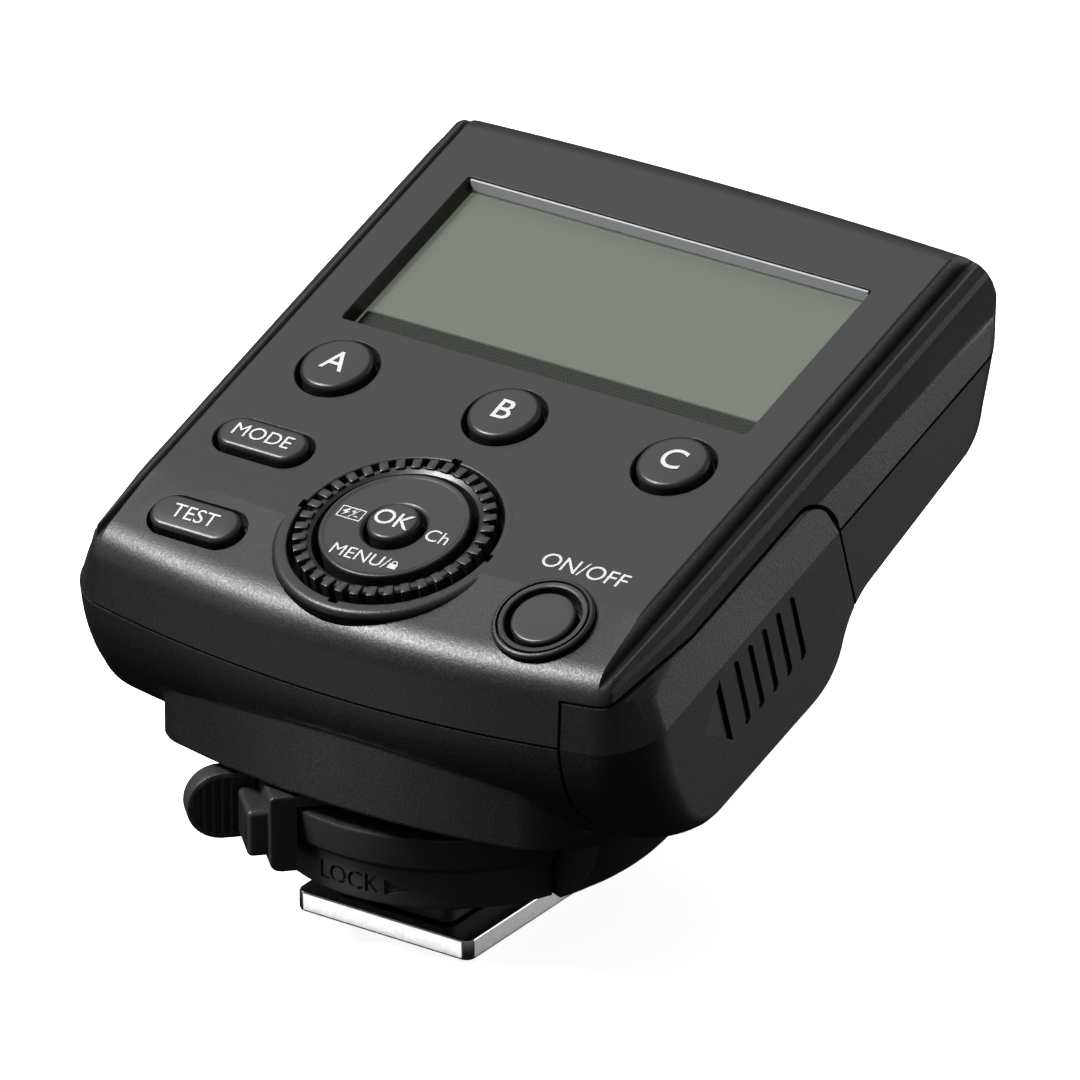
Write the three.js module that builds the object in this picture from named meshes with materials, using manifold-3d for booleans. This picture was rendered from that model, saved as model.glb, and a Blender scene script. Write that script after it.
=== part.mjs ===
// A wireless flash trigger that locks into a camera's accessory shoe.
//
// Row frame: millimetres, +Z up, +Y away from the user, +X to the user's right.  The origin is the
// centre of the shoe plate's bottom face.  The casing is drawn in a panel frame: x as above, v up
// the sloping panel (away from the user) and n out of the panel, with n = 0 on the panel.

import * as THREE from 'three';
import { mergeVertices } from 'three/addons/utils/BufferGeometryUtils.js';
import Module from 'manifold-3d';

const wasm = await Module();
wasm.setup();

// ---------------------------------------------------------------- driving dimensions

const GAP = 0.3;                       // clearance between neighbouring pieces
const CUT = 6;                         // how far a cutting tool overshoots

const PANEL_TILT = THREE.MathUtils.degToRad(17.5);
const PANEL_HEIGHT = 39.5;             // height of the panel plane above the origin
const FACET_TILT = THREE.MathUtils.degToRad(7);
const FACET_START = -7.6;              // v at which the panel falls away towards the user

const CASE = {
  halfWidth: 30.7,
  wall: 1.8,
  seam: -7.2,                          // n of the joint between upper and lower shell
  seamGap: 0.15,                       // half of the gap between the two shells
  farEnd: 46.9,
  farRound: 3.45,                      // rounding of the panel's far edge
  farSeam: 45.0,                       // v of the far end at the seam
  userEnd: -20.5,
  userBow: 290,                        // twice the plan radius of the user face
  farBow: 1100,
  userCorner: 4.6,
  farCorner: 4.6,
};

const SCREEN = { halfWidth: 21.5, low: 16.7, high: 37.4, depth: 1.25, glass: 0.7 };

const BUTTON = {
  hole: 3.8, cap: 3.3, rise: 0.75, foot: -3.0, shortFoot: -2.8, plunger: 1.4,
  flange: 0.8, flangeTop: -2.15, flangeBottom: -2.75, column: 17.87, row: 10.7,
};
const PILL = { halfLength: 5.0, halfHeight: 2.35, clearance: 0.45, column: -18.4 };
const MODE_V = -0.26;
const TEST_V = -11.05;
const POWER = { x: 18.1, v: -10.6, boss: 4.6, bossRise: 0.55, hole: 3.45, cap: 2.95 };

const DIAL = {
  x: -0.68, v: -5.75, boss: 11.0, bossRise: 0.15, hole: 9.6, outer: 9.05, inner: 7.3, teeth: 36,
  toothDepth: 0.75, top: 0.5, flange: 9.9, flangeTop: -3.15, flangeBottom: -3.6,
};
const PAD = { outer: 6.75, hole: 2.85, top: 0.65, edge: 0.3, bottom: -1.5 };
const OK = { radius: 2.35, top: 1.25, bottom: -2.8, flange: 3.0 };

// Flat inner parts lie between v = low and v = high, from n = bottom to n = top.
const MODULE = { halfWidth: 24, low: 15.2, high: 38.9, bottom: -4.2, top: -2.25 };
const KEYPAD = { halfWidth: 25, low: -12.6, high: 14.6, bottom: -4.3, top: -4.0, corner: 2,
  bump: 1.6, bumpTop: -3.8 };
const BOARD = { halfWidth: 26.2, low: -12.5, high: 40.5, bottom: -5.6, top: -4.6, corner: 2.5 };
const RADIO = { halfWidth: 19, low: 15.5, high: 38, bottom: -9.4, top: -8.6 };
const SHIELD = { halfWidth: 10, low: 18, high: 32, bottom: -8.3, top: -6.1 };
const ANTENNA = { halfWidth: 15, low: 34.5, high: 36.5, bottom: -8.3, top: -7.9 };

const CELL = { radius: 5.2, length: 43.3, nub: 1.2, nubRadius: 1.9, bevel: 0.4, start: -21.5, n: -11.9 };
const CELL_ROWS = [-9.3, 1.6];
const COIL = { turns: 3, base: 3.6, tip: 1.8, length: 2.2, offset: 2.6, wire: 0.22, steps: 33 };
const CONTACT_PLATE = { thickness: 0.5, low: -12.8, high: 6, bottom: -15.2, top: -8, reach: 24.9 };
const TRAY = { left: -23.8, right: 22.6, low: -14.2, high: 7.4, bottom: -6.4, top: -5.9 };

const COVER = { left: 23.3, far: 15.3, top: -3.25, farCorner: 3.0, footLeft: 26.4, bend: -14.5 };
const MARKS = { bars: 5, first: -2.2, pitch: 2.25, width: 0.6, depth: 0.5, low: -15.2, high: -8,
  base: -4.2, tip: -7.6 };
const SCREW = { head: 1.9, shank: 0.9, headDepth: 1.2, length: 6.5, bottom: -13.1, boss: 3.4,
  bossTop: -9.5, seat: -11.9 };
const CASE_SCREWS = [[-24.5, 33.5], [24.5, 33.5]];

const LOCK_AXIS_Y = 1.8;               // the locking lever turns about this vertical line
const NECK = { left: -21.0, right: 22.6, lobe: 26.0, user: -15.4, front: 15.0, lobeFront: 21.0,
  bottom: 15.4, lobeTop: 17.6, wall: 1.8, floorTop: 16.2 };
const LOBE_START = THREE.MathUtils.degToRad(-22);
const LOBE_END = THREE.MathUtils.degToRad(48);
const COLLAR = { bottom: 6.1, lipTop: 9.7, shoulder: 10.4, top: 13.6, disc: 14.1, core: 7.7,
  bore: 13, inner: 14.6, lower: 15.95, middle: 16.85, upper: 17.4, from: -165, to: -22 };
const HUB = { radius: 9.0, bottom: 8.0 };
// The lever is drawn along its own x axis, which points away from the lock axis, with y across it.
const LEVER = {
  azimuth: -135, ringIn: 9.3, ringOut: 12.2, low: 13.95, high: 15.05,
  clear: 17.75, plateOut: 17.7, plateLow: 7.7, plateEdge: 9.0,
  rootOut: 19.5, rootStart: 2.5, rootEnd: 8.0, rootLow: 8.9, rootHigh: 13.35,
  tabIn: 17.6, tabOut: 24.05, tabStart: 0.6, tabEnd: 3.0, tabLow: 8.4, tabHigh: 14.85,
};
const BASE = { inner: 14.5, bottom: 6.2, top: 15.1 };
const BASE_BOWL = [[16.8, BASE.bottom], [18.9, 7.6], [20.9, 9.6], [22.4, 12.2], [23.3, BASE.top]];
const SHOE = { width: 18.6, length: 18, thickness: 2, corner: 0.9, insertWidth: 12.6,
  insertLength: 13.4 };
const STEM = { width: 12.3, length: 15, bottom: 2.3, padWidth: 15.2, padLength: 16.6, padBottom: 4.1,
  top: 5.8 };
const LOCK_PIN = { x: -5.0, y: 5.4, radius: 1.15, bottom: 0.1, top: 9.5 };

// ---------------------------------------------------------------- solids and frames

function outwardIndex(position, index) {
  const [a, b, c] = [new THREE.Vector3(), new THREE.Vector3(), new THREE.Vector3()];
  const kept = [];
  let volume = 0;
  for (let i = 0; i < index.length; i += 3) {
    const [p, q, r] = [index[i], index[i + 1], index[i + 2]];
    if (p === q || q === r || r === p) continue;
    kept.push(p, q, r);
    a.fromBufferAttribute(position, p);
    b.fromBufferAttribute(position, q);
    c.fromBufferAttribute(position, r);
    volume += a.dot(b.cross(c));
  }
  return volume > 0 ? kept : kept.reverse();
}

// A three.js geometry as a solid that can be joined and cut.
function solid(geometry) {
  const bare = geometry.clone();
  bare.deleteAttribute('normal');
  bare.deleteAttribute('uv');
  const merged = mergeVertices(bare, 1e-4);
  const { position } = merged.attributes;
  return new wasm.Manifold(new wasm.Mesh({
    numProp: 3,
    vertProperties: new Float32Array(position.array),
    triVerts: new Uint32Array(outwardIndex(position, merged.index.array)),
  }));
}

function geometryOf(body) {
  const mesh = body.getMesh();
  const geometry = new THREE.BufferGeometry();
  geometry.setAttribute('position', new THREE.BufferAttribute(mesh.vertProperties, 3));
  geometry.setIndex(new THREE.BufferAttribute(mesh.triVerts, 1));
  geometry.computeVertexNormals();
  return geometry;
}

// A block from its low and high corners.
function block(low, high) {
  const size = high.map((value, axis) => value - low[axis]);
  const geometry = new THREE.BoxGeometry(...size);
  return solid(geometry.translate(...low.map((value, axis) => value + size[axis] / 2)));
}

// A plane outline raised along z from low to high.
function prism(shape, low, high, curveSegments = 6) {
  const geometry = new THREE.ExtrudeGeometry(shape, {
    depth: high - low, bevelEnabled: false, curveSegments,
  });
  return solid(geometry.translate(0, 0, low));
}

// A ring or disc about the z axis from a profile of [radius, height] points.
function turned(profile, segments = 24) {
  const points = profile.map(([radius, height]) => new THREE.Vector2(radius, height));
  if (profile[0][0] > 0) points.push(points[0].clone());
  return solid(new THREE.LatheGeometry(points, segments).rotateX(Math.PI / 2));
}

function disc(radius, low, high, segments = 24) {
  return turned([[0, low], [radius, low], [radius, high], [0, high]], segments);
}

function circle(radius, x = 0, y = 0) {
  return new THREE.Shape().absarc(x, y, radius, 0, 2 * Math.PI);
}

function pill(halfLength, halfHeight) {
  const straight = halfLength - halfHeight;
  const shape = new THREE.Shape();
  shape.absarc(straight, 0, halfHeight, -Math.PI / 2, Math.PI / 2);
  shape.absarc(-straight, 0, halfHeight, Math.PI / 2, 3 * Math.PI / 2);
  return shape;
}

function roundedRectangle(x0, y0, x1, y1, radius) {
  const shape = new THREE.Shape();
  shape.absarc(x1 - radius, y0 + radius, radius, -Math.PI / 2, 0);
  shape.absarc(x1 - radius, y1 - radius, radius, 0, Math.PI / 2);
  shape.absarc(x0 + radius, y1 - radius, radius, Math.PI / 2, Math.PI);
  shape.absarc(x0 + radius, y0 + radius, radius, Math.PI, 3 * Math.PI / 2);
  return shape;
}

function polygon(points) {
  return new THREE.Shape(points.map(([x, y]) => new THREE.Vector2(x, y)));
}

// A pie slice about the z axis between two directions in degrees.
function slice(from, to, radius, low, high) {
  const [start, end] = [from, to].map(THREE.MathUtils.degToRad);
  const shape = new THREE.Shape();
  shape.moveTo(0, 0);
  shape.lineTo(radius * Math.cos(start), radius * Math.sin(start));
  shape.absarc(0, 0, radius, start, end);
  shape.closePath();
  return prism(shape, low, high, 12);
}

const panelFrame = new THREE.Matrix4()
  .makeRotationX(PANEL_TILT)
  .setPosition(0, 0, PANEL_HEIGHT);
const rowToPanel = panelFrame.clone().invert();
const facetFrame = new THREE.Matrix4()
  .makeTranslation(0, FACET_START, 0)
  .multiply(new THREE.Matrix4().makeRotationX(FACET_TILT))
  .multiply(new THREE.Matrix4().makeTranslation(0, -FACET_START, 0));

const moved = (body, matrix) => body.transform(matrix.toArray());
const shifted = (body, x, y, z = 0) => body.translate([x, y, z]);

// ---------------------------------------------------------------- scene graph

const trigger = new THREE.Group();
const panel = new THREE.Group();
panel.applyMatrix4(panelFrame);
const facet = new THREE.Group();
facet.applyMatrix4(facetFrame);
panel.add(facet);
const lock = new THREE.Group();
lock.position.y = LOCK_AXIS_Y;
trigger.add(panel, lock);

const MATERIALS = {
  casing: { color: 0x26272a, roughness: 0.55, metalness: 0 },
  cap: { color: 0x3c3e42, roughness: 0.45, metalness: 0 },
  dark: { color: 0x17181a, roughness: 0.6, metalness: 0 },
  screen: { color: 0x7c8079, roughness: 0.25, metalness: 0 },
  glass: { color: 0x9aa19a, roughness: 0.05, metalness: 0 },
  board: { color: 0x1f5a3a, roughness: 0.5, metalness: 0 },
  steel: { color: 0xc8cacc, roughness: 0.25, metalness: 1 },
  chrome: { color: 0xe4e6e8, roughness: 0.12, metalness: 1 },
  brass: { color: 0xc9a24a, roughness: 0.3, metalness: 1 },
  rubber: { color: 0x2c2d2f, roughness: 0.85, metalness: 0 },
  cell: { color: 0xb9bcc0, roughness: 0.35, metalness: 0.6 },
};

function add(parent, name, finish, body, position = [0, 0, 0]) {
  const mesh = new THREE.Mesh(
    geometryOf(body),
    new THREE.MeshStandardMaterial(MATERIALS[finish]),
  );
  mesh.name = name;
  mesh.position.set(...position);
  parent.add(mesh);
}

// ---------------------------------------------------------------- casing form

// Plan setback of an end face at distance x from the middle: a shallow bow and a rounded corner.
function setback(x, bow, corner) {
  const past = Math.max(0, Math.abs(x) - (CASE.halfWidth - corner));
  return x * x / bow + corner - Math.sqrt(Math.max(0, corner * corner - past * past));
}

function stations(halfWidth, corner) {
  const half = [6, 12, 18, 24, CASE.halfWidth - corner];
  for (const angle of [30, 55, 75, 90]) {
    half.push(CASE.halfWidth - corner + corner * Math.sin(THREE.MathUtils.degToRad(angle)));
  }
  const inside = half.filter((x) => x < halfWidth - 0.01);
  inside.push(halfWidth);
  return [...inside.map((x) => -x).reverse(), 0, ...inside];
}

// An outline in v and n carried across the width, with both ends bowed in plan.
function across(shape, halfWidth) {
  const places = stations(halfWidth, CASE.userCorner);
  const steps = places.length - 1;
  const geometry = new THREE.ExtrudeGeometry(shape, {
    depth: 1, steps, bevelEnabled: false, curveSegments: 4,
  });
  const { position } = geometry.attributes;
  for (let i = 0; i < position.count; i += 1) {
    const v = position.getX(i);
    const n = position.getY(i);
    const x = places[Math.round(position.getZ(i) * steps)];
    const user = setback(x, CASE.userBow, CASE.userCorner) * v / CASE.userEnd;
    const far = -setback(x, CASE.farBow, CASE.farCorner) * v / CASE.farEnd;
    position.setXYZ(i, x, v + (v < 0 ? user : far), n);
  }
  return solid(geometry);
}

// Side view of the casing: the panel, its lower facet, the rounded lip, the deep battery end at
// the user's side and the slimmer far end.
function outerProfile() {
  const shape = new THREE.Shape();
  shape.moveTo(CASE.farEnd - CASE.farRound, 0);
  shape.lineTo(FACET_START, 0);
  shape.lineTo(-14.6, -0.86);
  shape.quadraticCurveTo(-17.6, -1.3, -18.5, -3.6);
  shape.lineTo(-20.0, CASE.seam);
  shape.quadraticCurveTo(-21.0, -11.5, -19.4, -15.4);
  shape.quadraticCurveTo(-18.2, -20.4, -11.5, -20.3);
  shape.lineTo(8.0, -20.5);
  shape.quadraticCurveTo(11.6, -20.5, 13.8, -18.4);
  shape.quadraticCurveTo(16.2, -15.6, 19.8, -15.2);
  shape.lineTo(37.8, -13.9);
  shape.quadraticCurveTo(40.2, -13.7, 41.6, -11.4);
  shape.lineTo(CASE.farSeam, CASE.seam);
  shape.absarc(CASE.farEnd - CASE.farRound, -CASE.farRound, CASE.farRound, 0, Math.PI / 2);
  return shape;
}

function innerProfile() {
  const shape = new THREE.Shape();
  shape.moveTo(CASE.farEnd - CASE.farRound, -CASE.wall);
  shape.lineTo(FACET_START, -CASE.wall);
  shape.lineTo(-15.5, -2.8);
  shape.lineTo(-17.0, -4.4);
  shape.lineTo(-18.2, CASE.seam);
  shape.quadraticCurveTo(-19.2, -11.2, -17.6, -14.4);
  shape.quadraticCurveTo(-16.6, -18.5, -10.5, -18.6);
  shape.lineTo(8.0, -18.8);
  shape.quadraticCurveTo(10.8, -18.8, 12.4, -17.0);
  shape.quadraticCurveTo(15.4, -13.6, 19.6, -13.2);
  shape.lineTo(37.6, -12.0);
  shape.lineTo(39.8, -10.4);
  shape.lineTo(CASE.farSeam - CASE.wall, CASE.seam);
  shape.lineTo(CASE.farEnd - CASE.wall - 0.2, -CASE.farRound - 0.3);
  shape.closePath();
  return shape;
}

// Section across the width: the flat panel stands between two long grooves, outside which a
// narrow shoulder rolls over to the side wall.
const CASE_SECTION = [[CASE.halfWidth, -30], [CASE.halfWidth, -4.5], [30.1, -3.4], [28.6, -2.3],
  [28.3, -1.8], [27.3, -1.15], [26.9, -1.75], [26.4, -1.7], [25.95, -0.35], [25.6, 3]];
const CAVITY_SECTION = [[30, -30], [30, -5.2], [28.0, -4.2], [25.0, -3.5], [24.0, 3]];

// Half of a section in x and n, mirrored and carried along v.
function lengthwise(half) {
  const shape = polygon([...half, ...half.map(([x, n]) => [-x, n]).reverse()]);
  const geometry = new THREE.ExtrudeGeometry(shape, { depth: 80, bevelEnabled: false });
  return solid(geometry.rotateX(Math.PI / 2).translate(0, 55, 0));
}

const outer = across(outerProfile(), CASE.halfWidth)
  .intersect(lengthwise(CASE_SECTION))
  .add(shifted(disc(DIAL.boss, -4, DIAL.bossRise, 40), DIAL.x, DIAL.v))
  .add(moved(shifted(disc(POWER.boss, -1, POWER.bossRise), POWER.x, POWER.v), facetFrame));
const cavity = across(innerProfile(), CASE.halfWidth - CASE.wall)
  .intersect(lengthwise(CAVITY_SECTION));
const walls = outer.subtract(cavity);

// An outline in v and n made solid between two places across the width.
function sideways(shape, x0, x1) {
  const geometry = new THREE.ExtrudeGeometry(shape, {
    depth: x1 - x0, bevelEnabled: false, curveSegments: 4,
  });
  const axes = new THREE.Matrix4().set(0, 0, 1, 0, 1, 0, 0, 0, 0, 1, 0, 0, 0, 0, 0, 1);
  return solid(geometry.applyMatrix4(axes).translate(x0, 0, 0));
}

// The space of the battery cover, grown on every open side by the given amount.  Its edge on the
// user face leans outwards below the bend.
function coverSpace(grow) {
  const side = roundedRectangle(-30, -30, COVER.far + grow, COVER.top + grow, COVER.farCorner);
  const [left, foot, right] = [COVER.left - grow, COVER.footLeft - grow, CASE.halfWidth + CUT];
  const front = polygon([[left, COVER.bend], [foot, -19], [foot, -30], [right, -30], [right, 0],
    [left, 0]]);
  const geometry = new THREE.ExtrudeGeometry(front, { depth: 60, bevelEnabled: false });
  return sideways(side, left, right)
    .intersect(solid(geometry.rotateX(Math.PI / 2).translate(0, 30, 0)));
}

// ---------------------------------------------------------------- upper shell

function buttonHoles() {
  const columns = [-BUTTON.column, 0, BUTTON.column];
  const round = columns.map((x) => shifted(disc(BUTTON.hole, -CUT, CUT), x, BUTTON.row));
  const slot = prism(pill(PILL.halfLength, PILL.halfHeight), -CUT, CUT);
  const mode = shifted(slot, PILL.column, MODE_V);
  const test = moved(shifted(slot, PILL.column, TEST_V), facetFrame);
  const power = moved(shifted(disc(POWER.hole, -CUT, CUT), POWER.x, POWER.v), facetFrame);
  return wasm.Manifold.union([...round, mode, test, power]);
}

function upperShell() {
  const above = block([-40, -40, CASE.seam + CASE.seamGap], [40, 60, 10]);
  const window = block(
    [-SCREEN.halfWidth, SCREEN.low, -CUT],
    [SCREEN.halfWidth, SCREEN.high, CUT],
  );
  const dialHole = shifted(disc(DIAL.hole, -CUT, CUT, 40), DIAL.x, DIAL.v);
  return walls.intersect(above)
    .subtract(window)
    .subtract(dialHole)
    .subtract(buttonHoles())
    .subtract(coverSpace(GAP));
}

// ---------------------------------------------------------------- lower shell with its neck

// Plan of the neck: straight on the left, a shallow bow towards the user, and a round lobe about
// the lock axis on the right.
function neckOutline(inset = 0) {
  const shape = new THREE.Shape();
  const [left, user, front] = [NECK.left + inset, NECK.user + inset, NECK.lobeFront - inset];
  const radius = NECK.lobe - inset;
  shape.moveTo(left, front - 6);
  shape.lineTo(left, user + 4.4);
  shape.quadraticCurveTo(left, user + 1.9, left + 3, user + 1.5);
  shape.quadraticCurveTo(0, user - 2.7, NECK.lobe - 8, user + 1.3);
  shape.quadraticCurveTo(radius * 0.84, user + 2.3, radius * Math.cos(LOBE_START),
    LOCK_AXIS_Y + radius * Math.sin(LOBE_START));
  shape.absarc(0, LOCK_AXIS_Y, radius, LOBE_START, LOBE_END);
  shape.lineTo(left + 6, front);
  shape.quadraticCurveTo(left, front, left, front - 6);
  return shape;
}

function neck() {
  const tall = prism(neckOutline(), NECK.bottom, 30)
    .intersect(block([-40, -40, 0], [NECK.right, NECK.front, 40]));
  return tall.add(prism(neckOutline(), NECK.bottom, NECK.lobeTop));
}

// The open underside of the neck, which the floor closes.
function neckHollow() {
  return prism(neckOutline(NECK.wall), NECK.bottom - CUT, NECK.floorTop + GAP);
}

function screwPocket(x, v) {
  const pocket = disc(SCREW.head + GAP, -20, SCREW.seat, 12);
  return shifted(pocket.add(disc(SCREW.shank + 0.25, -20, -CUT, 10)), x, v);
}

function lowerShell() {
  const below = block([-40, -40, -40], [40, 60, CASE.seam - CASE.seamGap]);
  const boss = disc(SCREW.boss, SCREW.bottom, SCREW.bossTop, 12);
  const bosses = CASE_SCREWS.map(([x, v]) => shifted(boss, x, v));
  const inside = cavity.subtract(wasm.Manifold.union(bosses));
  return outer.add(moved(neck(), rowToPanel))
    .subtract(moved(neckHollow(), rowToPanel))
    .intersect(below)
    .subtract(inside)
    .subtract(coverSpace(GAP))
    .subtract(wasm.Manifold.union(CASE_SCREWS.map(([x, v]) => screwPocket(x, v))));
}

// ---------------------------------------------------------------- battery cover

// Five upright bars and an arrow head that show which way the cover slides.
function slideMarks() {
  const [inner, outside] = [CASE.halfWidth - MARKS.depth, CASE.halfWidth + 1];
  const middle = (MARKS.low + MARKS.high) / 2;
  const head = polygon([[MARKS.base, MARKS.low], [MARKS.base, MARKS.high], [MARKS.tip, middle]]);
  const cuts = [sideways(head, inner, outside)];
  for (let i = 0; i < MARKS.bars; i += 1) {
    const v = MARKS.first + MARKS.pitch * i;
    cuts.push(block([inner, v, MARKS.low], [outside, v + MARKS.width, MARKS.high]));
  }
  return wasm.Manifold.union(cuts);
}

add(panel, 'upper_shell', 'casing', upperShell());
add(panel, 'lower_shell', 'casing', lowerShell());
add(panel, 'battery_cover', 'casing', walls.intersect(coverSpace(0)).subtract(slideMarks()));

// ---------------------------------------------------------------- screen and boards

add(panel, 'screen_window', 'glass', block(
  [-SCREEN.halfWidth + GAP, SCREEN.low + GAP, -SCREEN.depth - SCREEN.glass],
  [SCREEN.halfWidth - GAP, SCREEN.high - GAP, -SCREEN.depth],
));

function slab({ halfWidth, low, high, bottom, top }) {
  return block([-halfWidth, low, bottom], [halfWidth, high, top]);
}

function roundedSlab({ halfWidth, low, high, bottom, top, corner }) {
  return prism(roundedRectangle(-halfWidth, low, halfWidth, high, corner), bottom, top);
}

function keypad() {
  const places = [-BUTTON.column, 0, BUTTON.column].map((x) => [x, BUTTON.row]);
  places.push([PILL.column, MODE_V]);
  const bump = disc(KEYPAD.bump, KEYPAD.bottom, KEYPAD.bumpTop, 12);
  const bumps = places.map(([x, v]) => shifted(bump, x, v));
  return wasm.Manifold.union([roundedSlab(KEYPAD), ...bumps])
    .subtract(shifted(disc(DIAL.flange + GAP, -CUT, 0, 32), DIAL.x, DIAL.v));
}

add(panel, 'screen_module', 'screen', slab(MODULE));
add(panel, 'keypad_sheet', 'rubber', keypad());
add(panel, 'main_board', 'board', roundedSlab(BOARD));
add(panel, 'radio_board', 'board', slab(RADIO));
add(panel, 'radio_shield', 'steel', slab(SHIELD));
add(panel, 'antenna', 'brass', slab(ANTENNA));

// ---------------------------------------------------------------- buttons

// A round cap with a domed top, and a flange that keeps it in its hole.
function roundCap(radius, rise, foot) {
  return turned([
    [0, foot], [BUTTON.plunger, foot], [BUTTON.plunger, BUTTON.flangeBottom],
    [radius + BUTTON.flange, BUTTON.flangeBottom], [radius + BUTTON.flange, BUTTON.flangeTop],
    [radius, BUTTON.flangeTop],
    [radius, rise - 0.55], [radius - 0.25, rise - 0.15], [radius * 0.55, rise], [0, rise],
  ]);
}

function pillCap(foot) {
  const [length, height] = [PILL.halfLength - PILL.clearance, PILL.halfHeight - PILL.clearance];
  const body = prism(pill(length, height), BUTTON.flangeBottom, BUTTON.rise - 0.3);
  const crown = prism(pill(length - 0.3, height - 0.3), 0, BUTTON.rise);
  const flange = prism(pill(PILL.halfLength + 0.5, PILL.halfHeight + 0.5),
    BUTTON.flangeBottom, BUTTON.flangeTop);
  return body.add(crown).add(flange).add(disc(BUTTON.plunger, foot, 0, 12));
}

['a', 'b', 'c'].forEach((letter, index) => {
  const x = (index - 1) * BUTTON.column;
  const cap = roundCap(BUTTON.cap, BUTTON.rise, BUTTON.foot);
  add(panel, `button_${letter}`, 'cap', cap, [x, BUTTON.row, 0]);
});
add(panel, 'mode_button', 'cap', pillCap(BUTTON.foot), [PILL.column, MODE_V, 0]);
add(facet, 'test_button', 'cap', pillCap(BUTTON.shortFoot), [PILL.column, TEST_V, 0]);
const powerCap = roundCap(POWER.cap, POWER.bossRise - 0.05, BUTTON.shortFoot);
add(facet, 'power_button', 'cap', powerCap, [POWER.x, POWER.v, 0]);

// ---------------------------------------------------------------- dial, arrow pad and OK button

function toothedRing() {
  const shape = new THREE.Shape();
  const pitch = 2 * Math.PI / DIAL.teeth;
  const low = DIAL.outer - DIAL.toothDepth;
  for (let i = 0; i < DIAL.teeth; i += 1) {
    const corners = [[low, 0], [DIAL.outer, 0.04], [DIAL.outer, 0.6], [low, 0.64]];
    for (const [radius, part] of corners) {
      const angle = (i + part) * pitch;
      const point = [radius * Math.cos(angle), radius * Math.sin(angle)];
      if (i === 0 && part === 0) shape.moveTo(...point);
      else shape.lineTo(...point);
    }
  }
  shape.closePath();
  const hole = disc(DIAL.inner, -CUT, CUT, 36);
  const flange = disc(DIAL.flange, DIAL.flangeBottom, DIAL.flangeTop, 36);
  return prism(shape, DIAL.flangeBottom, DIAL.top).add(flange).subtract(hole);
}

const arrowPad = turned([
  [PAD.hole, PAD.bottom], [PAD.outer, PAD.bottom], [PAD.outer, PAD.edge],
  [PAD.outer - 0.35, PAD.top], [PAD.hole + 0.25, PAD.top - 0.1], [PAD.hole, PAD.top - 0.35],
], 36);
const padPivot = turned([[3.5, -2.6], [6.2, -2.6], [6.2, -1.95], [3.5, -1.95]], 24);
const okButton = turned([
  [0, OK.bottom - 0.5], [1.4, OK.bottom - 0.5], [1.4, OK.bottom], [OK.flange, OK.bottom],
  [OK.flange, OK.bottom + 0.3], [OK.radius, OK.bottom + 0.3], [OK.radius, OK.top - 0.6],
  [OK.radius - 0.3, OK.top - 0.15], [1.2, OK.top], [0, OK.top],
]);
const encoder = turned([[7.4, -4.3], [9.6, -4.3], [9.6, -3.9], [7.4, -3.9]], 24);

const dialPlace = [DIAL.x, DIAL.v, 0];
add(panel, 'dial_ring', 'cap', toothedRing(), dialPlace);
add(panel, 'dial_encoder', 'dark', encoder, dialPlace);
add(panel, 'pad_pivot', 'dark', padPivot, dialPlace);
add(panel, 'arrow_pad', 'cap', arrowPad, dialPlace);
add(panel, 'ok_button', 'cap', okButton, dialPlace);
add(panel, 'ok_switch', 'dark', disc(1.8, -4.3, -3.9, 16), dialPlace);

// ---------------------------------------------------------------- battery bay

const cellProfile = [
  [0, 0], [CELL.radius - CELL.bevel, 0], [CELL.radius, CELL.bevel],
  [CELL.radius, CELL.length - CELL.bevel], [CELL.radius - CELL.bevel, CELL.length],
  [CELL.nubRadius, CELL.length],
  [CELL.nubRadius, CELL.length + CELL.nub], [0, CELL.length + CELL.nub],
];
const lyingAcross = new THREE.Matrix4().makeRotationY(Math.PI / 2);

class ConeCoil extends THREE.Curve {
  getPoint(t, target = new THREE.Vector3()) {
    const angle = t * COIL.turns * 2 * Math.PI;
    const radius = COIL.base + (COIL.tip - COIL.base) * t;
    const along = COIL.length * t - COIL.offset;
    return target.set(along, radius * Math.cos(angle), radius * Math.sin(angle));
  }
}

function coilSpring() {
  return solid(new THREE.ExtrudeGeometry(circle(COIL.wire), {
    steps: COIL.steps, extrudePath: new ConeCoil(), bevelEnabled: false, curveSegments: 3,
  }));
}

CELL_ROWS.forEach((v, index) => {
  const cell = moved(turned(cellProfile, 18), lyingAcross);
  add(panel, `cell_${index + 1}`, 'cell', cell, [CELL.start, v, CELL.n]);
  add(panel, `cell_spring_${index + 1}`, 'steel', coilSpring(), [CELL.start - GAP, v, CELL.n]);
});

// A flat spring contact whose inner face is at x.
function contactPlate(x) {
  const { thickness, low, high, bottom, top } = CONTACT_PLATE;
  return block([x, low, bottom], [x + thickness, high, top]);
}

add(panel, 'contact_bridge', 'steel', contactPlate(-CONTACT_PLATE.reach - CONTACT_PLATE.thickness));
add(panel, 'cover_contact', 'steel', contactPlate(CONTACT_PLATE.reach + CONTACT_PLATE.thickness));
add(panel, 'battery_tray', 'dark', block(
  [TRAY.left, TRAY.low, TRAY.bottom],
  [TRAY.right, TRAY.high, TRAY.top],
));

// ---------------------------------------------------------------- case screws

function screw() {
  const head = disc(SCREW.head, 0, SCREW.headDepth, 10);
  return head.add(disc(SCREW.shank, 0, SCREW.length, 10));
}

CASE_SCREWS.forEach(([x, v], index) => {
  add(panel, `case_screw_${index + 1}`, 'steel', screw(), [x, v, SCREW.bottom]);
});

// ---------------------------------------------------------------- foot

const aboutLock = (body) => shifted(body, 0, -LOCK_AXIS_Y);
const pinHole = (low, high) => shifted(disc(LOCK_PIN.radius + GAP, low, high, 12),
  LOCK_PIN.x, LOCK_PIN.y);

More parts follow.
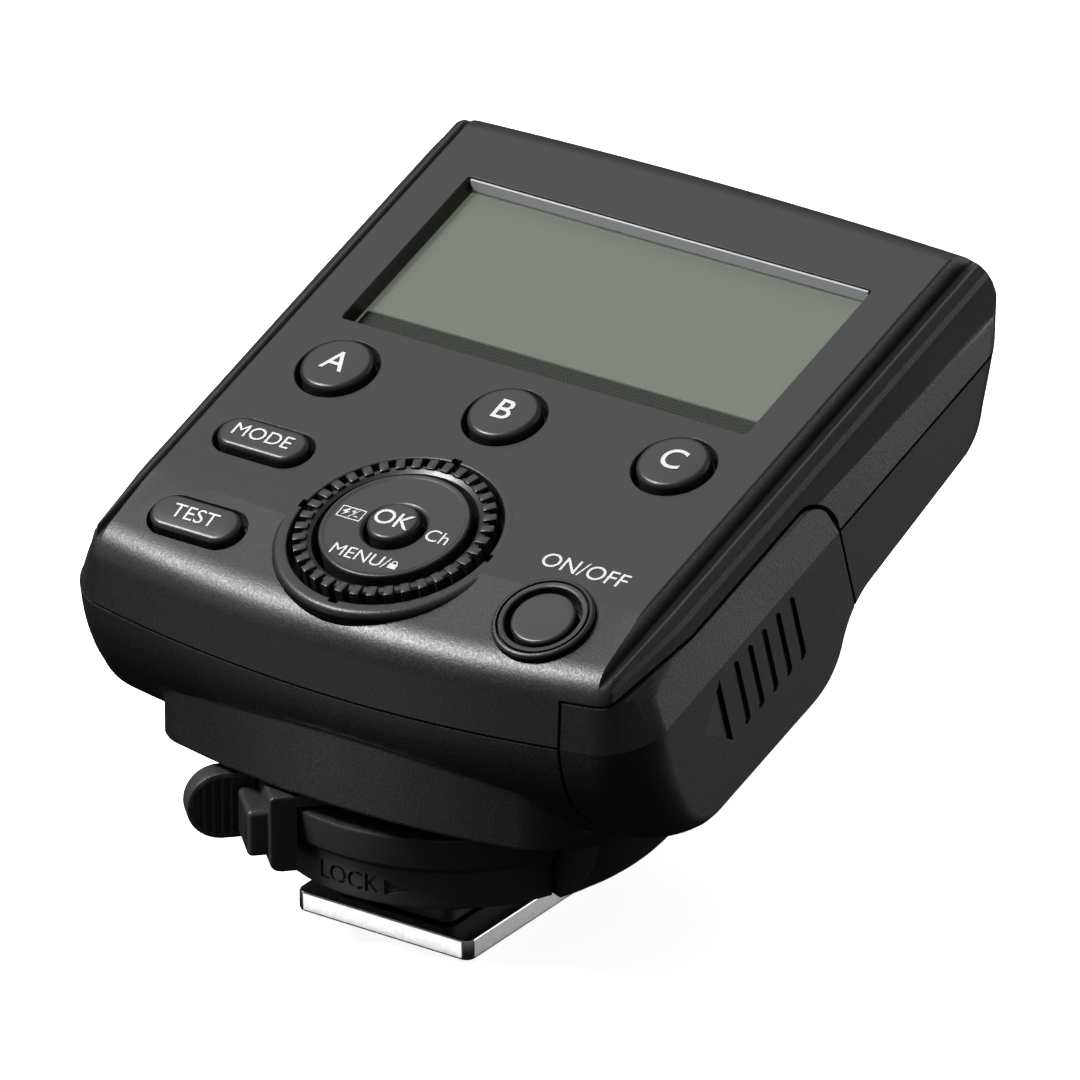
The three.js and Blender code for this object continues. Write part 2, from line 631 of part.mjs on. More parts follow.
function neckFloor() {
  const plate = prism(neckOutline(NECK.wall + GAP), NECK.bottom, NECK.floorTop);
  const hub = shifted(disc(HUB.radius, HUB.bottom, NECK.bottom + 0.5, 32), 0, LOCK_AXIS_Y);
  return plate.add(hub).subtract(pinHole(0, 12));
}

function lockCollar() {
  const band = turned([
    [COLLAR.bore, COLLAR.bottom], [COLLAR.lower, COLLAR.bottom], [COLLAR.lower, COLLAR.lipTop],
    [COLLAR.middle, COLLAR.shoulder], [COLLAR.upper, COLLAR.top], [COLLAR.inner, COLLAR.top],
    [COLLAR.inner, COLLAR.core], [COLLAR.bore, COLLAR.core],
  ], 72).intersect(slice(COLLAR.from, COLLAR.to, 30, 0, 30));
  return band.add(disc(COLLAR.disc, COLLAR.bottom, COLLAR.core, 40))
    .subtract(aboutLock(pinHole(0, 30)));
}

function frontBase() {
  const bowl = turned([[BASE.inner, BASE.bottom], ...BASE_BOWL, [BASE.inner, BASE.top]], 64);
  const inside = aboutLock(prism(neckOutline(), 0, 20));
  return bowl.intersect(inside).subtract(slice(COLLAR.from - 1, COLLAR.to + 1, 40, 0, 30));
}

// Round-ended thumb tab standing on edge, from tabStart to tabEnd across the lever.
function thumbTab() {
  const radius = (LEVER.tabHigh - LEVER.tabLow) / 2;
  const outline = new THREE.Shape();
  outline.moveTo(LEVER.tabIn, LEVER.tabLow);
  outline.absarc(LEVER.tabOut - radius, LEVER.tabLow + radius, radius, -Math.PI / 2, Math.PI / 2);
  outline.lineTo(LEVER.tabIn, LEVER.tabHigh);
  outline.closePath();
  const upright = new THREE.Matrix4().makeRotationX(Math.PI / 2);
  return moved(prism(outline, -LEVER.tabEnd, -LEVER.tabStart), upright);
}

// A ring about the hub, an arm over the collar, a plate down the collar's side and the tab.
function lockLever() {
  const ring = turned([
    [LEVER.ringIn, LEVER.low], [LEVER.ringOut, LEVER.low], [LEVER.ringOut, LEVER.high],
    [LEVER.ringIn, LEVER.high],
  ], 36);
  const arm = block([LEVER.ringOut - 1, 0, LEVER.low], [LEVER.plateOut, LEVER.plateEdge, LEVER.high]);
  const plate = block([LEVER.ringOut, 0, LEVER.plateLow], [LEVER.plateOut, LEVER.plateEdge, LEVER.high])
    .subtract(disc(LEVER.clear, 0, LEVER.low, 72));
  const root = block(
    [LEVER.plateOut - 1, LEVER.rootStart, LEVER.rootLow],
    [LEVER.rootOut, LEVER.rootEnd, LEVER.rootHigh],
  ).subtract(disc(LEVER.clear, 0, 30, 72));
  const turn = new THREE.Matrix4().makeRotationZ(THREE.MathUtils.degToRad(LEVER.azimuth));
  return moved(wasm.Manifold.union([ring, arm, plate, root, thumbTab()]), turn);
}

add(trigger, 'neck_floor', 'dark', neckFloor());
add(lock, 'lock_collar', 'casing', lockCollar());
add(lock, 'front_base', 'casing', frontBase());
add(lock, 'lock_lever', 'casing', lockLever());
add(trigger, 'lock_pin', 'steel', disc(LOCK_PIN.radius, LOCK_PIN.bottom, LOCK_PIN.top, 12),
  [LOCK_PIN.x, LOCK_PIN.y, 0]);

// ---------------------------------------------------------------- shoe plate and contacts

const CONTACTS = [[-3.3, -2.2], [3.3, -2.2], [0.2, 5.6], [4.4, 4.6]];
const SHOE_CONTACT = { x: 0, y: LOCK_AXIS_Y, radius: 1.1 };
const CONTACT_RADIUS = 0.65;

const contactHoles = wasm.Manifold.union([
  shifted(disc(SHOE_CONTACT.radius + GAP, -CUT, CUT, 16), SHOE_CONTACT.x, SHOE_CONTACT.y),
  ...CONTACTS.map(([x, y]) => shifted(disc(CONTACT_RADIUS + GAP, -CUT, CUT, 12), x, y)),
  pinHole(-CUT, CUT),
]);

function centred(width, length, radius) {
  return roundedRectangle(-width / 2, -length / 2, width / 2, length / 2, radius);
}

const plateHole = prism(centred(SHOE.insertWidth, SHOE.insertLength, 1), -CUT, CUT, 3);
const insert = prism(centred(SHOE.insertWidth - 2 * GAP, SHOE.insertLength - 2 * GAP, 0.8),
  0, SHOE.thickness - 0.2, 3);
const stem = prism(centred(STEM.width, STEM.length, 1), STEM.bottom, STEM.top, 3)
  .add(prism(centred(STEM.padWidth, STEM.padLength, 1.5), STEM.padBottom, STEM.top, 3));

add(trigger, 'shoe_plate', 'chrome',
  prism(centred(SHOE.width, SHOE.length, SHOE.corner), 0, SHOE.thickness, 3).subtract(plateHole));
add(trigger, 'shoe_insert', 'dark', insert.subtract(contactHoles));
add(trigger, 'shoe_stem', 'dark', stem.subtract(pinHole(0, 12)));
add(trigger, 'shoe_contact', 'steel', disc(SHOE_CONTACT.radius, 0.05, 1.9, 16),
  [SHOE_CONTACT.x, SHOE_CONTACT.y, 0]);
CONTACTS.forEach(([x, y], index) => {
  add(trigger, `shoe_pin_${index + 1}`, 'brass', disc(CONTACT_RADIUS, 0.05, 1.9, 12), [x, y, 0]);
});

export default trigger;
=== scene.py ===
"""Looks of a wireless flash trigger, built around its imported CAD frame.

Shapes are drawn in millimetres and become metres when they are made into pieces.  The row frame has
+Z up, +Y away from the user and +X to the user's right.  The casing is drawn in the panel frame:
x as above, v up the sloping panel and n out of it, with n = 0 on the panel.
"""

import math

import bmesh
import bpy
from mathutils import Matrix, Vector
from mathutils.bvhtree import BVHTree


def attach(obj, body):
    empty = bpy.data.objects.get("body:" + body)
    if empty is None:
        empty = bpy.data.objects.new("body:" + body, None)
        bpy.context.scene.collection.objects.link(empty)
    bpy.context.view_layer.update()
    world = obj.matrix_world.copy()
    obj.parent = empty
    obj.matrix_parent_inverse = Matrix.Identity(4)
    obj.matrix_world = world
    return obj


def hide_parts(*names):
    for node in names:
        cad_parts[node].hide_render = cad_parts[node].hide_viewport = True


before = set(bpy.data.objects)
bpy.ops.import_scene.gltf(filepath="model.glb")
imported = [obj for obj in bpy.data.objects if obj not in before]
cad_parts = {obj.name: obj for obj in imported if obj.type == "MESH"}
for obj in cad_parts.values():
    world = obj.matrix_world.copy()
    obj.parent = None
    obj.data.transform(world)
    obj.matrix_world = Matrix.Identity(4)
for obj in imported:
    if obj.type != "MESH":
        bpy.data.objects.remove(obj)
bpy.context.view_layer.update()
scene = bpy.context.scene

# ---------------------------------------------------------------- frames

MM = 0.001
SEAM = -7.2                      # n of the joint between the two shells
FACET_V = -7.6                   # v at which the panel falls away towards the user

PANEL = Matrix.Translation((0, 0, 39.5)) @ Matrix.Rotation(math.radians(17.5), 4, "X")
FACET = (
    PANEL
    @ Matrix.Translation((0, FACET_V, 0))
    @ Matrix.Rotation(math.radians(7), 4, "X")
    @ Matrix.Translation((0, -FACET_V, 0))
)
LOCK = Matrix.Translation((0, 1.8, 0))
ROW = Matrix.Identity(4)


def extent(node, space=PANEL):
    """Lowest and highest corner of a CAD node in millimetres, in one of the frames above."""
    back = space.inverted()
    points = [back @ (vertex.co / MM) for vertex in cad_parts[node].data.vertices]
    low = Vector([min(point[axis] for point in points) for axis in range(3)])
    high = Vector([max(point[axis] for point in points) for axis in range(3)])
    return low, high


def centre(node, space=PANEL):
    low, high = extent(node, space)
    return (low + high) / 2


# ---------------------------------------------------------------- camera, lights and floor


AZIMUTH, ELEVATION, ROLL = 34.784, 25.637, -0.278        # of the camera, in degrees
LENS, DISTANCE, TO_RIGHT, UPWARDS = 560.3, 1477.4, 8.70, 31.43


def make_camera():
    """A long lens that looks along the azimuth and elevation, from beside and above the origin."""
    azimuth, elevation, roll = (math.radians(angle) for angle in (AZIMUTH, ELEVATION, ROLL))
    back = Vector((
        math.sin(azimuth) * math.cos(elevation),
        -math.cos(azimuth) * math.cos(elevation),
        math.sin(elevation),
    ))
    right = Vector((math.cos(azimuth), math.sin(azimuth), 0))
    turn = Matrix.Rotation(roll, 3, back)
    right, up = turn @ right, turn @ back.cross(right)
    camera = bpy.data.objects.new("camera", bpy.data.cameras.new("camera"))
    camera.data.lens = LENS
    camera.data.sensor_width = 36
    camera.data.clip_end = 20
    camera.matrix_world = Matrix((right, up, back)).transposed().to_4x4()
    camera.location = (back * DISTANCE + right * TO_RIGHT + up * UPWARDS) * MM
    scene.collection.objects.link(camera)
    scene.camera = camera


LIGHTS = (                       # name, direction, distance and size in metres, watts
    ("key_softbox", (-0.51, -0.40, 0.77), 1.0, 0.26, 15),
    ("top_softbox", (-0.45, 0.35, 0.82), 1.2, 0.9, 2.9),
    ("side_softbox", (0.55, 0.8, 0.05), 1.0, 0.6, 3.0),
    ("side_card", (0.51, 0.74, -0.43), 0.8, 0.2, 0.07),
    ("left_card", (-0.76, -0.64, 0.08), 1.0, 0.3, 0.4),
    ("foot_card", (-0.51, -0.74, -0.43), 0.8, 0.2, 0.24),
)


def make_light(name, direction, distance, size, power):
    """A square softbox that faces the object from that direction."""
    light = bpy.data.objects.new(name, bpy.data.lights.new(name, "AREA"))
    light.data.size = size
    light.data.energy = power
    light.visible_camera = False
    way = Vector(direction).normalized()
    light.location = way * distance + Vector((0, 0, 0.03))
    light.rotation_euler = way.to_track_quat("Z", "Y").to_euler()
    scene.collection.objects.link(light)


def make_world():
    """Soft light from all round that is dimmer the lower it comes from."""
    world = bpy.data.worlds.new("studio")
    world.use_nodes = True
    tree = world.node_tree
    height = tree.nodes.new("ShaderNodeSeparateXYZ")
    tree.links.new(tree.nodes.new("ShaderNodeTexCoord").outputs["Generated"], height.inputs[0])
    strength = tree.nodes.new("ShaderNodeMapRange")
    for name, value in (("From Min", -0.5), ("From Max", 0.6), ("To Min", 0.01), ("To Max", 0.25)):
        strength.inputs[name].default_value = value
    tree.links.new(height.outputs["Z"], strength.inputs["Value"])
    background = tree.nodes["Background"]
    background.inputs["Color"].default_value = (1, 1, 1, 1)
    tree.links.new(strength.outputs["Result"], background.inputs["Strength"])
    scene.world = world


def make_stage():
    """A white floor that throws no light back up, so that the underside stays dark."""
    scene.view_settings.view_transform = "Standard"
    bpy.ops.mesh.primitive_plane_add(size=12, location=(0, 0, -0.0001))
    floor = bpy.context.object
    floor.name = "floor"
    floor.visible_diffuse = False
    floor.visible_glossy = False
    floor.visible_shadow = False
    paper = bpy.data.materials.new("paper")
    paper.use_nodes = True
    shader = paper.node_tree.nodes["Principled BSDF"]
    shader.inputs["Base Color"].default_value = (0.93, 0.93, 0.93, 1)
    shader.inputs["Roughness"].default_value = 0.9
    shader.inputs["Emission Color"].default_value = (1, 1, 1, 1)
    shader.inputs["Emission Strength"].default_value = 0.85
    floor.data.materials.append(paper)
    make_world()
    for name, direction, distance, size, power in LIGHTS:
        make_light(name, direction, distance, size, power)


make_camera()
make_stage()

# ---------------------------------------------------------------- outlines


def path(start, *steps, smooth=10):
    """Points along lines (x, y) and quadratic curves (control x, control y, x, y)."""
    points = [start]
    for step in steps:
        if len(step) == 2:
            points.append(step)
            continue
        x0, y0 = points[-1]
        cx, cy, x1, y1 = step
        for i in range(1, smooth + 1):
            t = i / smooth
            points.append((
                (1 - t) ** 2 * x0 + 2 * t * (1 - t) * cx + t * t * x1,
                (1 - t) ** 2 * y0 + 2 * t * (1 - t) * cy + t * t * y1,
            ))
    return points


def arc(x, y, radius, start, end, steps=10):
    """Points on an arc between two directions in degrees."""
    angles = [math.radians(start + (end - start) * i / steps) for i in range(steps + 1)]
    return [(x + radius * math.cos(angle), y + radius * math.sin(angle)) for angle in angles]


def rounded(corners, steps=5):
    """A closed outline through corners (x, y) or (x, y, radius of the rounding)."""
    points = []
    for i, (x, y, *radius) in enumerate(corners):
        if not radius:
            points.append((x, y))
            continue
        here = Vector((x, y))
        before = (Vector(corners[i - 1][:2]) - here).normalized()
        after = (Vector(corners[(i + 1) % len(corners)][:2]) - here).normalized()
        half = before.angle(after) / 2
        middle = here + (before + after).normalized() * (radius[0] / math.sin(half))
        reach = radius[0] / math.tan(half)
        first = here + before * reach - middle
        sweep = first.angle_signed(here + after * reach - middle)
        for step in range(steps + 1):
            turn = Matrix.Rotation(-sweep * step / steps, 2)
            points.append(tuple(middle + turn @ first))
    return points


def circle(radius, steps=64):
    return arc(0, 0, radius, 0, 360 - 360 / steps, steps - 1)


def pill(half_length, half_height):
    straight = half_length - half_height
    right = arc(straight, 0, half_height, -90, 90, 16)
    return right + arc(-straight, 0, half_height, 90, 270, 16)


def rectangle(half_x, half_y, radius):
    signs = ((1, -1), (1, 1), (-1, 1), (-1, -1))
    return rounded([(sx * half_x, sy * half_y, radius) for sx, sy in signs])


def edge_levels(top, radius, steps=4):
    """(inset, height) pairs that round an outline off as it rises to the top."""
    pairs = []
    for i in range(steps + 1):
        angle = math.pi / 2 * i / steps
        pairs.append((radius * (1 - math.cos(angle)), top - radius * (1 - math.sin(angle))))
    return pairs


# ---------------------------------------------------------------- solids


def solid(points, faces):
    mesh = bpy.data.meshes.new("solid")
    mesh.from_pydata(points, [], faces)
    work = bmesh.new()
    work.from_mesh(mesh)
    bmesh.ops.remove_doubles(work, verts=work.verts, dist=1e-4)
    bmesh.ops.recalc_face_normals(work, faces=work.faces)
    work.to_mesh(mesh)
    work.free()
    body = bpy.data.objects.new("solid", mesh)
    scene.collection.objects.link(body)
    return body


def loft(rings, closed=False):
    """A solid through rings of equal length, with flat ends unless the rings close on themselves."""
    count = len(rings[0])
    faces = []
    for level in range(len(rings) - (0 if closed else 1)):
        low, high = level * count, (level + 1) % len(rings) * count
        for i in range(count):
            j = (i + 1) % count
            faces.append((low + i, low + j, high + j, high + i))
    if not closed:
        last = (len(rings) - 1) * count
        faces += [tuple(range(count)), tuple(range(last, last + count))]
    return solid([point for ring in rings for point in ring], faces)


def stack(outline, levels):
    """A solid whose section at each (inset, height) is the outline drawn in by that inset."""
    return loft([[(x, y, height) for x, y in outline(inset)] for inset, height in levels])


def prism(outline, low, high):
    return stack(lambda inset: outline, [(0, low), (0, high)])


def turned(profile, segments=96):
    """A solid of revolution about z from [radius, height] points."""
    rings = []
    for i in range(segments):
        angle = 2 * math.pi * i / segments
        rings.append([(r * math.cos(angle), r * math.sin(angle), h) for r, h in profile])
    return loft(rings, closed=True)


def block(low, high):
    return prism([(low[0], low[1]), (high[0], low[1]), (high[0], high[1]), (low[0], high[1])],
                 low[2], high[2])


def moved(body, *steps):
    """The body shifted by (x, y, z) or carried by a matrix, in that order."""
    for step in steps:
        matrix = step if isinstance(step, Matrix) else Matrix.Translation(step)
        body.data.transform(matrix)
    return body


def applied(body):
    """The body with its modifiers made permanent."""
    shown = body.evaluated_get(bpy.context.evaluated_depsgraph_get())
    body.data = bpy.data.meshes.new_from_object(shown)
    body.modifiers.clear()
    return body


def combine(operation, body, *others):
    for other in others:
        step = body.modifiers.new("combine", "BOOLEAN")
        step.operation = operation
        step.solver = "MANIFOLD"
        step.object = other
    applied(body)
    for other in others:
        bpy.data.objects.remove(other)
    return body


def join(body, *others):
    return combine("UNION", body, *others)


def cut(body, *others):
    return combine("DIFFERENCE", body, *others)


def common(body, *others):
    return combine("INTERSECT", body, *others)


def soft_block(low, high, radius, steps=3):
    """A block with every edge rounded."""
    body = block(low, high)
    bevel = body.modifiers.new("round", "BEVEL")
    bevel.width = radius
    bevel.segments = steps
    return applied(body)


def sideways(outline, x0, x1):
    """An outline in v and n made solid between two places across the width."""
    return loft([[(x, v, n) for v, n in outline] for x in (x0, x1)])


def lengthwise(outline, v0, v1):
    """An outline in x and n carried along v."""
    return loft([[(x, v, n) for x, n in outline] for v in (v0, v1)])


def flared(outline, depth, radius=0.22, top=4):
    """A hole cutter whose mouth is rounded where it meets the surface at height 0."""
    levels = [(0, -depth)]
    levels += [(-inset, height) for inset, height in edge_levels(0, radius)]
    levels.append((-radius, top))
    return stack(outline, levels)


# ---------------------------------------------------------------- materials


def shade(tree, kind, **settings):
    node = tree.nodes.new(kind)
    for name, value in settings.items():
        if name in node.inputs:
            node.inputs[name].default_value = value
        else:
            setattr(node, name, value)
    return node


def grained(name, dark, light, roughness, grain=0.25, strength=0.12, metallic=0.0, specular=0.5,
            spread=0.06):
    """A moulded or machined surface: fine grain in bump, colour and gloss.  grain is its size in mm."""
    material = bpy.data.materials.new(name)
    material.use_nodes = True
    tree = material.node_tree
    shader = tree.nodes["Principled BSDF"]
    place = shade(tree, "ShaderNodeTexCoord").outputs["Object"]
    fine = shade(tree, "ShaderNodeTexNoise", Scale=1 / (grain * MM), Detail=3.0, Roughness=0.6)
    broad = shade(tree, "ShaderNodeTexNoise", Scale=60.0, Detail=2.0)
    for noise in (fine, broad):
        tree.links.new(place, noise.inputs["Vector"])
    mixed = tree.nodes.new("ShaderNodeMath")
    mixed.operation = "MULTIPLY_ADD"
    mixed.inputs[1].default_value = 0.7
    tree.links.new(fine.outputs["Fac"], mixed.inputs[0])
    scaled = tree.nodes.new("ShaderNodeMath")
    scaled.operation = "MULTIPLY"
    scaled.inputs[1].default_value = 0.3
    tree.links.new(broad.outputs["Fac"], scaled.inputs[0])
    tree.links.new(scaled.outputs[0], mixed.inputs[2])
    colour = tree.nodes.new("ShaderNodeMix")
    colour.data_type = "RGBA"
    colour.inputs["A"].default_value = (*dark, 1)
    colour.inputs["B"].default_value = (*light, 1)
    tree.links.new(mixed.outputs[0], colour.inputs["Factor"])
    tree.links.new(colour.outputs["Result"], shader.inputs["Base Color"])
    gloss = shade(tree, "ShaderNodeMapRange")
    gloss.inputs["From Min"].default_value = 0.3
    gloss.inputs["From Max"].default_value = 0.7
    gloss.inputs["To Min"].default_value = roughness - spread
    gloss.inputs["To Max"].default_value = roughness + spread
    tree.links.new(mixed.outputs[0], gloss.inputs["Value"])
    tree.links.new(gloss.outputs["Result"], shader.inputs["Roughness"])
    bump = shade(tree, "ShaderNodeBump", Strength=strength, Distance=0.02 * MM)
    tree.links.new(fine.outputs["Fac"], bump.inputs["Height"])
    tree.links.new(bump.outputs["Normal"], shader.inputs["Normal"])
    shader.inputs["Metallic"].default_value = metallic
    shader.inputs["Specular IOR Level"].default_value = specular
    return material


def grey(value):
    return (value, value, value * 1.03)


CASING = grained("moulded_casing", grey(0.003), grey(0.017), 0.4, grain=0.24, strength=1.0,
                 spread=0.1)
CAP = grained("button_plastic", grey(0.008), grey(0.018), 0.36, strength=0.08)
DARK = grained("inner_plastic", grey(0.006), grey(0.012), 0.6)
MARKING = grained("white_ink", grey(0.5), grey(0.6), 0.5, grain=0.1)
CHROME = grained("polished_plate", grey(0.62), grey(0.74), 0.2, grain=0.6, strength=0.05,
                 metallic=1.0, spread=0.05)
STEEL = grained("spring_steel", grey(0.5), grey(0.62), 0.3, metallic=1.0)
BRASS = grained("gilt_contact", (0.62, 0.44, 0.16), (0.78, 0.58, 0.25), 0.28, metallic=1.0)
BOARD = grained("circuit_board", (0.01, 0.07, 0.03), (0.02, 0.11, 0.05), 0.45, grain=0.8)
RUBBER = grained("keypad_rubber", grey(0.02), grey(0.035), 0.8)
CELL = grained("cell_jacket", grey(0.35), grey(0.45), 0.35, metallic=0.6)
# A lighter grey than the casing, for the lock collar and the lock lever.
FOOT = grained("foot_lighter_grey", grey(0.014), grey(0.034), 0.46, grain=0.24, strength=0.8)
# Near-black and nearly without gloss: painted shade, for the rings round the feet of the bosses.
BOSS_PAINTED_SHADE = grained("boss_painted_shade", grey(0.0015), grey(0.003), 0.7, specular=0.1)
# The display's base colour is dark because most of its tone comes from painted glow, set just below.
SCREEN_PAINTED_GLOW = grained("display", (0.06, 0.061, 0.056), (0.07, 0.071, 0.066), 0.5, grain=0.4)
# A pale grey that paints the highlight on the far edge of the window's opening.
EDGE_HIGHLIGHT_GREY = grained("window_edge_painted_highlight", grey(0.36), grey(0.44), 0.5, grain=0.4)


def paint_display_glow():
    """Painted glow: the display gives off a fixed light of its own, though it is no lamp, so that it
    keeps an even tone whatever shadow its opening throws on it.
    """
    shader = SCREEN_PAINTED_GLOW.node_tree.nodes["Principled BSDF"]
    shader.inputs["Emission Color"].default_value = (0.126, 0.131, 0.119, 1)
    shader.inputs["Emission Strength"].default_value = 1.0


paint_display_glow()


def clear_window():
    material = bpy.data.materials.new("clear_window")
    material.use_nodes = True
    tree = material.node_tree
    shader = tree.nodes["Principled BSDF"]
    shader.inputs["Roughness"].default_value = 0.04
    shader.inputs["Base Color"].default_value = (0.02, 0.02, 0.02, 1)
    haze = shade(tree, "ShaderNodeTexNoise", Scale=90.0, Detail=2.0)
    ripple = shade(tree, "ShaderNodeBump", Strength=0.03, Distance=0.05 * MM)
    tree.links.new(haze.outputs["Fac"], ripple.inputs["Height"])
    tree.links.new(ripple.outputs["Normal"], shader.inputs["Normal"])
    through = tree.nodes.new("ShaderNodeBsdfTransparent")
    through.inputs["Color"].default_value = (0.93, 0.95, 0.92, 1)
    fresnel = shade(tree, "ShaderNodeFresnel", IOR=1.45)
    leaving = tree.nodes.new("ShaderNodeNewGeometry").outputs["Backfacing"]
    entering = shade(tree, "ShaderNodeMath", operation="SUBTRACT")
    entering.inputs[0].default_value = 1
    tree.links.new(leaving, entering.inputs[1])
    gloss = shade(tree, "ShaderNodeMath", operation="MULTIPLY")
    tree.links.new(fresnel.outputs["Fac"], gloss.inputs[0])
    tree.links.new(entering.outputs[0], gloss.inputs[1])
    blend = tree.nodes.new("ShaderNodeMixShader")
    tree.links.new(gloss.outputs[0], blend.inputs["Fac"])
    tree.links.new(through.outputs["BSDF"], blend.inputs[1])
    tree.links.new(shader.outputs["BSDF"], blend.inputs[2])
    tree.links.new(blend.outputs["Shader"], tree.nodes["Material Output"].inputs["Surface"])
    return material


GLASS = clear_window()

# ---------------------------------------------------------------- making pieces


def piece(name, body, material, slot, rides, *nodes, space=ROW, crease=None):
    """Turns a solid in one of the frames into a finished piece.  crease(point) marks sharp edges."""
    mesh = body.data
    work = bmesh.new()
    work.from_mesh(mesh)
    bmesh.ops.remove_doubles(work, verts=work.verts, dist=5e-4)
    bmesh.ops.dissolve_degenerate(work, edges=work.edges, dist=2e-4)
    sharp = math.radians(32)
    for edge in work.edges:
        bent = len(edge.link_faces) != 2 or edge.calc_face_angle(0) > sharp
        creased = crease is not None and all(crease(vertex.co) for vertex in edge.verts)
        edge.smooth = not (bent or creased)
    for face in work.faces:
        face.smooth = True
    work.to_mesh(mesh)
    work.free()
    mesh.transform(Matrix.Scale(MM, 4) @ space)
    mesh.materials.clear()
    mesh.materials.append(material)
    weighted = body.modifiers.new("weighted", "WEIGHTED_NORMAL")
    weighted.keep_sharp = True
    weighted.weight = 80
    applied(body)
    body.name = name
    body.data.name = name
    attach(body, rides)
    if nodes:
        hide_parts(*nodes)
    return body


# ---------------------------------------------------------------- casing form

CASE_LOW, CASE_HIGH = extent("upper_shell")
HALF_WIDTH = CASE_HIGH.x
USER_END, FAR_END, FAR_ROUND = -20.5, 46.9, 3.45
USER_BOW, FAR_BOW = 290, 1100
USER_CORNER, FAR_CORNER, LOW_CORNER = 4.6, 4.6, 0.3
UPPER_DRAFT = 0.0018             # how much narrower the casing gets, per mm away from the seam
LEAN_START = -5                  # v at which the shoulders begin to lean in towards the user end
LEAN = 0.05                      # their lean, per mm past that and per mm above the seam
PANEL_EDGE = 26.9                # x at which the groove beside the panel is deepest
PANEL_TOP = -0.02                # n of the finished panel
FAR_SEAM = 45.0                  # v of the far end at the seam
WALL = 1.8

UPPER_PROFILE = path(
    (-20.0, SEAM), (-18.5, -3.6), (-17.6, -1.3, -14.6, -0.86), (FACET_V, 0),
) + arc(FAR_END - FAR_ROUND, -FAR_ROUND, FAR_ROUND, 90, 0, 12) + [(FAR_SEAM, SEAM)]
LOWER_PROFILE = path(
    (FAR_SEAM, SEAM), (41.6, -11.4), (40.2, -13.7, 37.8, -13.9), (19.8, -15.2),
    (16.2, -15.6, 13.8, -18.4), (11.6, -20.5, 8.0, -20.5), (-11.5, -20.3),
    (-18.2, -20.4, -19.4, -15.4), (-21.0, -11.5, -20.0, SEAM),
)
INNER_PROFILE = path(
    (FAR_END - FAR_ROUND, -WALL), (FACET_V, -WALL), (-15.5, -2.8), (-17.0, -4.4), (-18.2, SEAM),
    (-19.2, -11.2, -17.6, -14.4), (-16.6, -18.5, -10.5, -18.6), (8.0, -18.8),
    (10.8, -18.8, 12.4, -17.0), (15.4, -13.6, 19.6, -13.2), (37.6, -12.0), (39.8, -10.4),
    (FAR_SEAM - WALL, SEAM), (44.9, -3.75), smooth=4,
)


def corner_setback(x, radius):
    past = max(0.0, abs(x) - (HALF_WIDTH - radius))
    return radius - math.sqrt(max(0.0, radius * radius - past * past))


def stations(half_width):
    flat = HALF_WIDTH - USER_CORNER
    places = [flat * i / 10 for i in range(1, 11)]
    places += [flat + USER_CORNER * math.sin(math.radians(angle)) for angle in range(10, 91, 10)]
    places = [x for x in places if x < half_width - 0.01] + [half_width]
    return [-x for x in reversed(places)] + [0.0] + places


def across(profile, half_width, draft=0.0, underside=False):
    """An outline in v and n carried across the width, bowed in plan and rounded at the sides."""
    last = len(profile) - 1
    falls = []
    for i in range(last + 1):
        (v0, n0), (v1, n1) = profile[max(i - 1, 0)], profile[min(i + 1, last)]
        falls.append(max(0.0, (v0 - v1) / math.hypot(v1 - v0, n1 - n0)))
    rings = []
    for x in stations(half_width):
        user = (x * x / USER_BOW + corner_setback(x, USER_CORNER)) / USER_END
        far = (x * x / FAR_BOW + corner_setback(x, FAR_CORNER)) / FAR_END
        ring = []
        for (v, n), fall in zip(profile, falls):
            lift = 0.0
            if underside:
                lift = corner_setback(x, LOW_CORNER) * fall * min(1.0, (SEAM - n) / 2)
            ring.append((x * (1 - draft * (n - SEAM)), v + v * (user if v < 0 else -far), n + lift))
        rings.append(ring)
    return loft(rings)


def leaning(body):
    """Draws the shoulders in where the corners at the user end slope away."""
    for vertex in body.data.vertices:
        x, v, n = vertex.co
        past = min(1.0, max(0.0, (abs(x) - PANEL_EDGE) / (HALF_WIDTH - PANEL_EDGE)))
        weight = past * past * (3 - 2 * past)
        inset = LEAN * weight * max(0.0, LEAN_START - v) * min(7.2, max(0.0, n - SEAM))
        vertex.co.x -= math.copysign(inset, x)
    return body


def upper_form():
    return leaning(across(UPPER_PROFILE, HALF_WIDTH, UPPER_DRAFT))


def lower_form():
    return across(LOWER_PROFILE, HALF_WIDTH, underside=True)


def mirrored(half):
    return half + [(-x, n) for x, n in reversed(half)]


def side_at(n):
    """Half width of the drafted side wall of the upper shell, and a hair more."""
    return HALF_WIDTH * (1 - UPPER_DRAFT * (n - SEAM)) + 0.01


def shoulders():
    """The space under the shoulders, the grooves and the panel, all along the casing."""
    corners = [
        (side_at(-12), -12), (side_at(-4.2), -4.2, 1.3), (28.6, -2.3, 0.4), (28.3, -1.75, 0.3),
        (27.35, -1.1, 0.4), (PANEL_EDGE, -1.85, 0.22), (26.35, -1.8, 0.22),
        (25.86, PANEL_TOP, 0.3), (0, PANEL_TOP), (0, -12),
    ]
    outline = mirrored(rounded(corners, 4)[:-2])
    return leaning(loft([[(x, v, n) for x, n in outline] for v in (-30, LEAN_START, 55)]))


def cavity():
    half = [(30, -30), (30, -5.2), (28, -4.2), (25, -3.5), (24, 3)]
    return common(across(INNER_PROFILE, HALF_WIDTH - WALL), lengthwise(mirrored(half), -30, 55))


COVER = {"left": 23.3, "far": 15.3, "top": -3.25, "corner": 3.0, "foot": 26.4, "bend": -14.5}


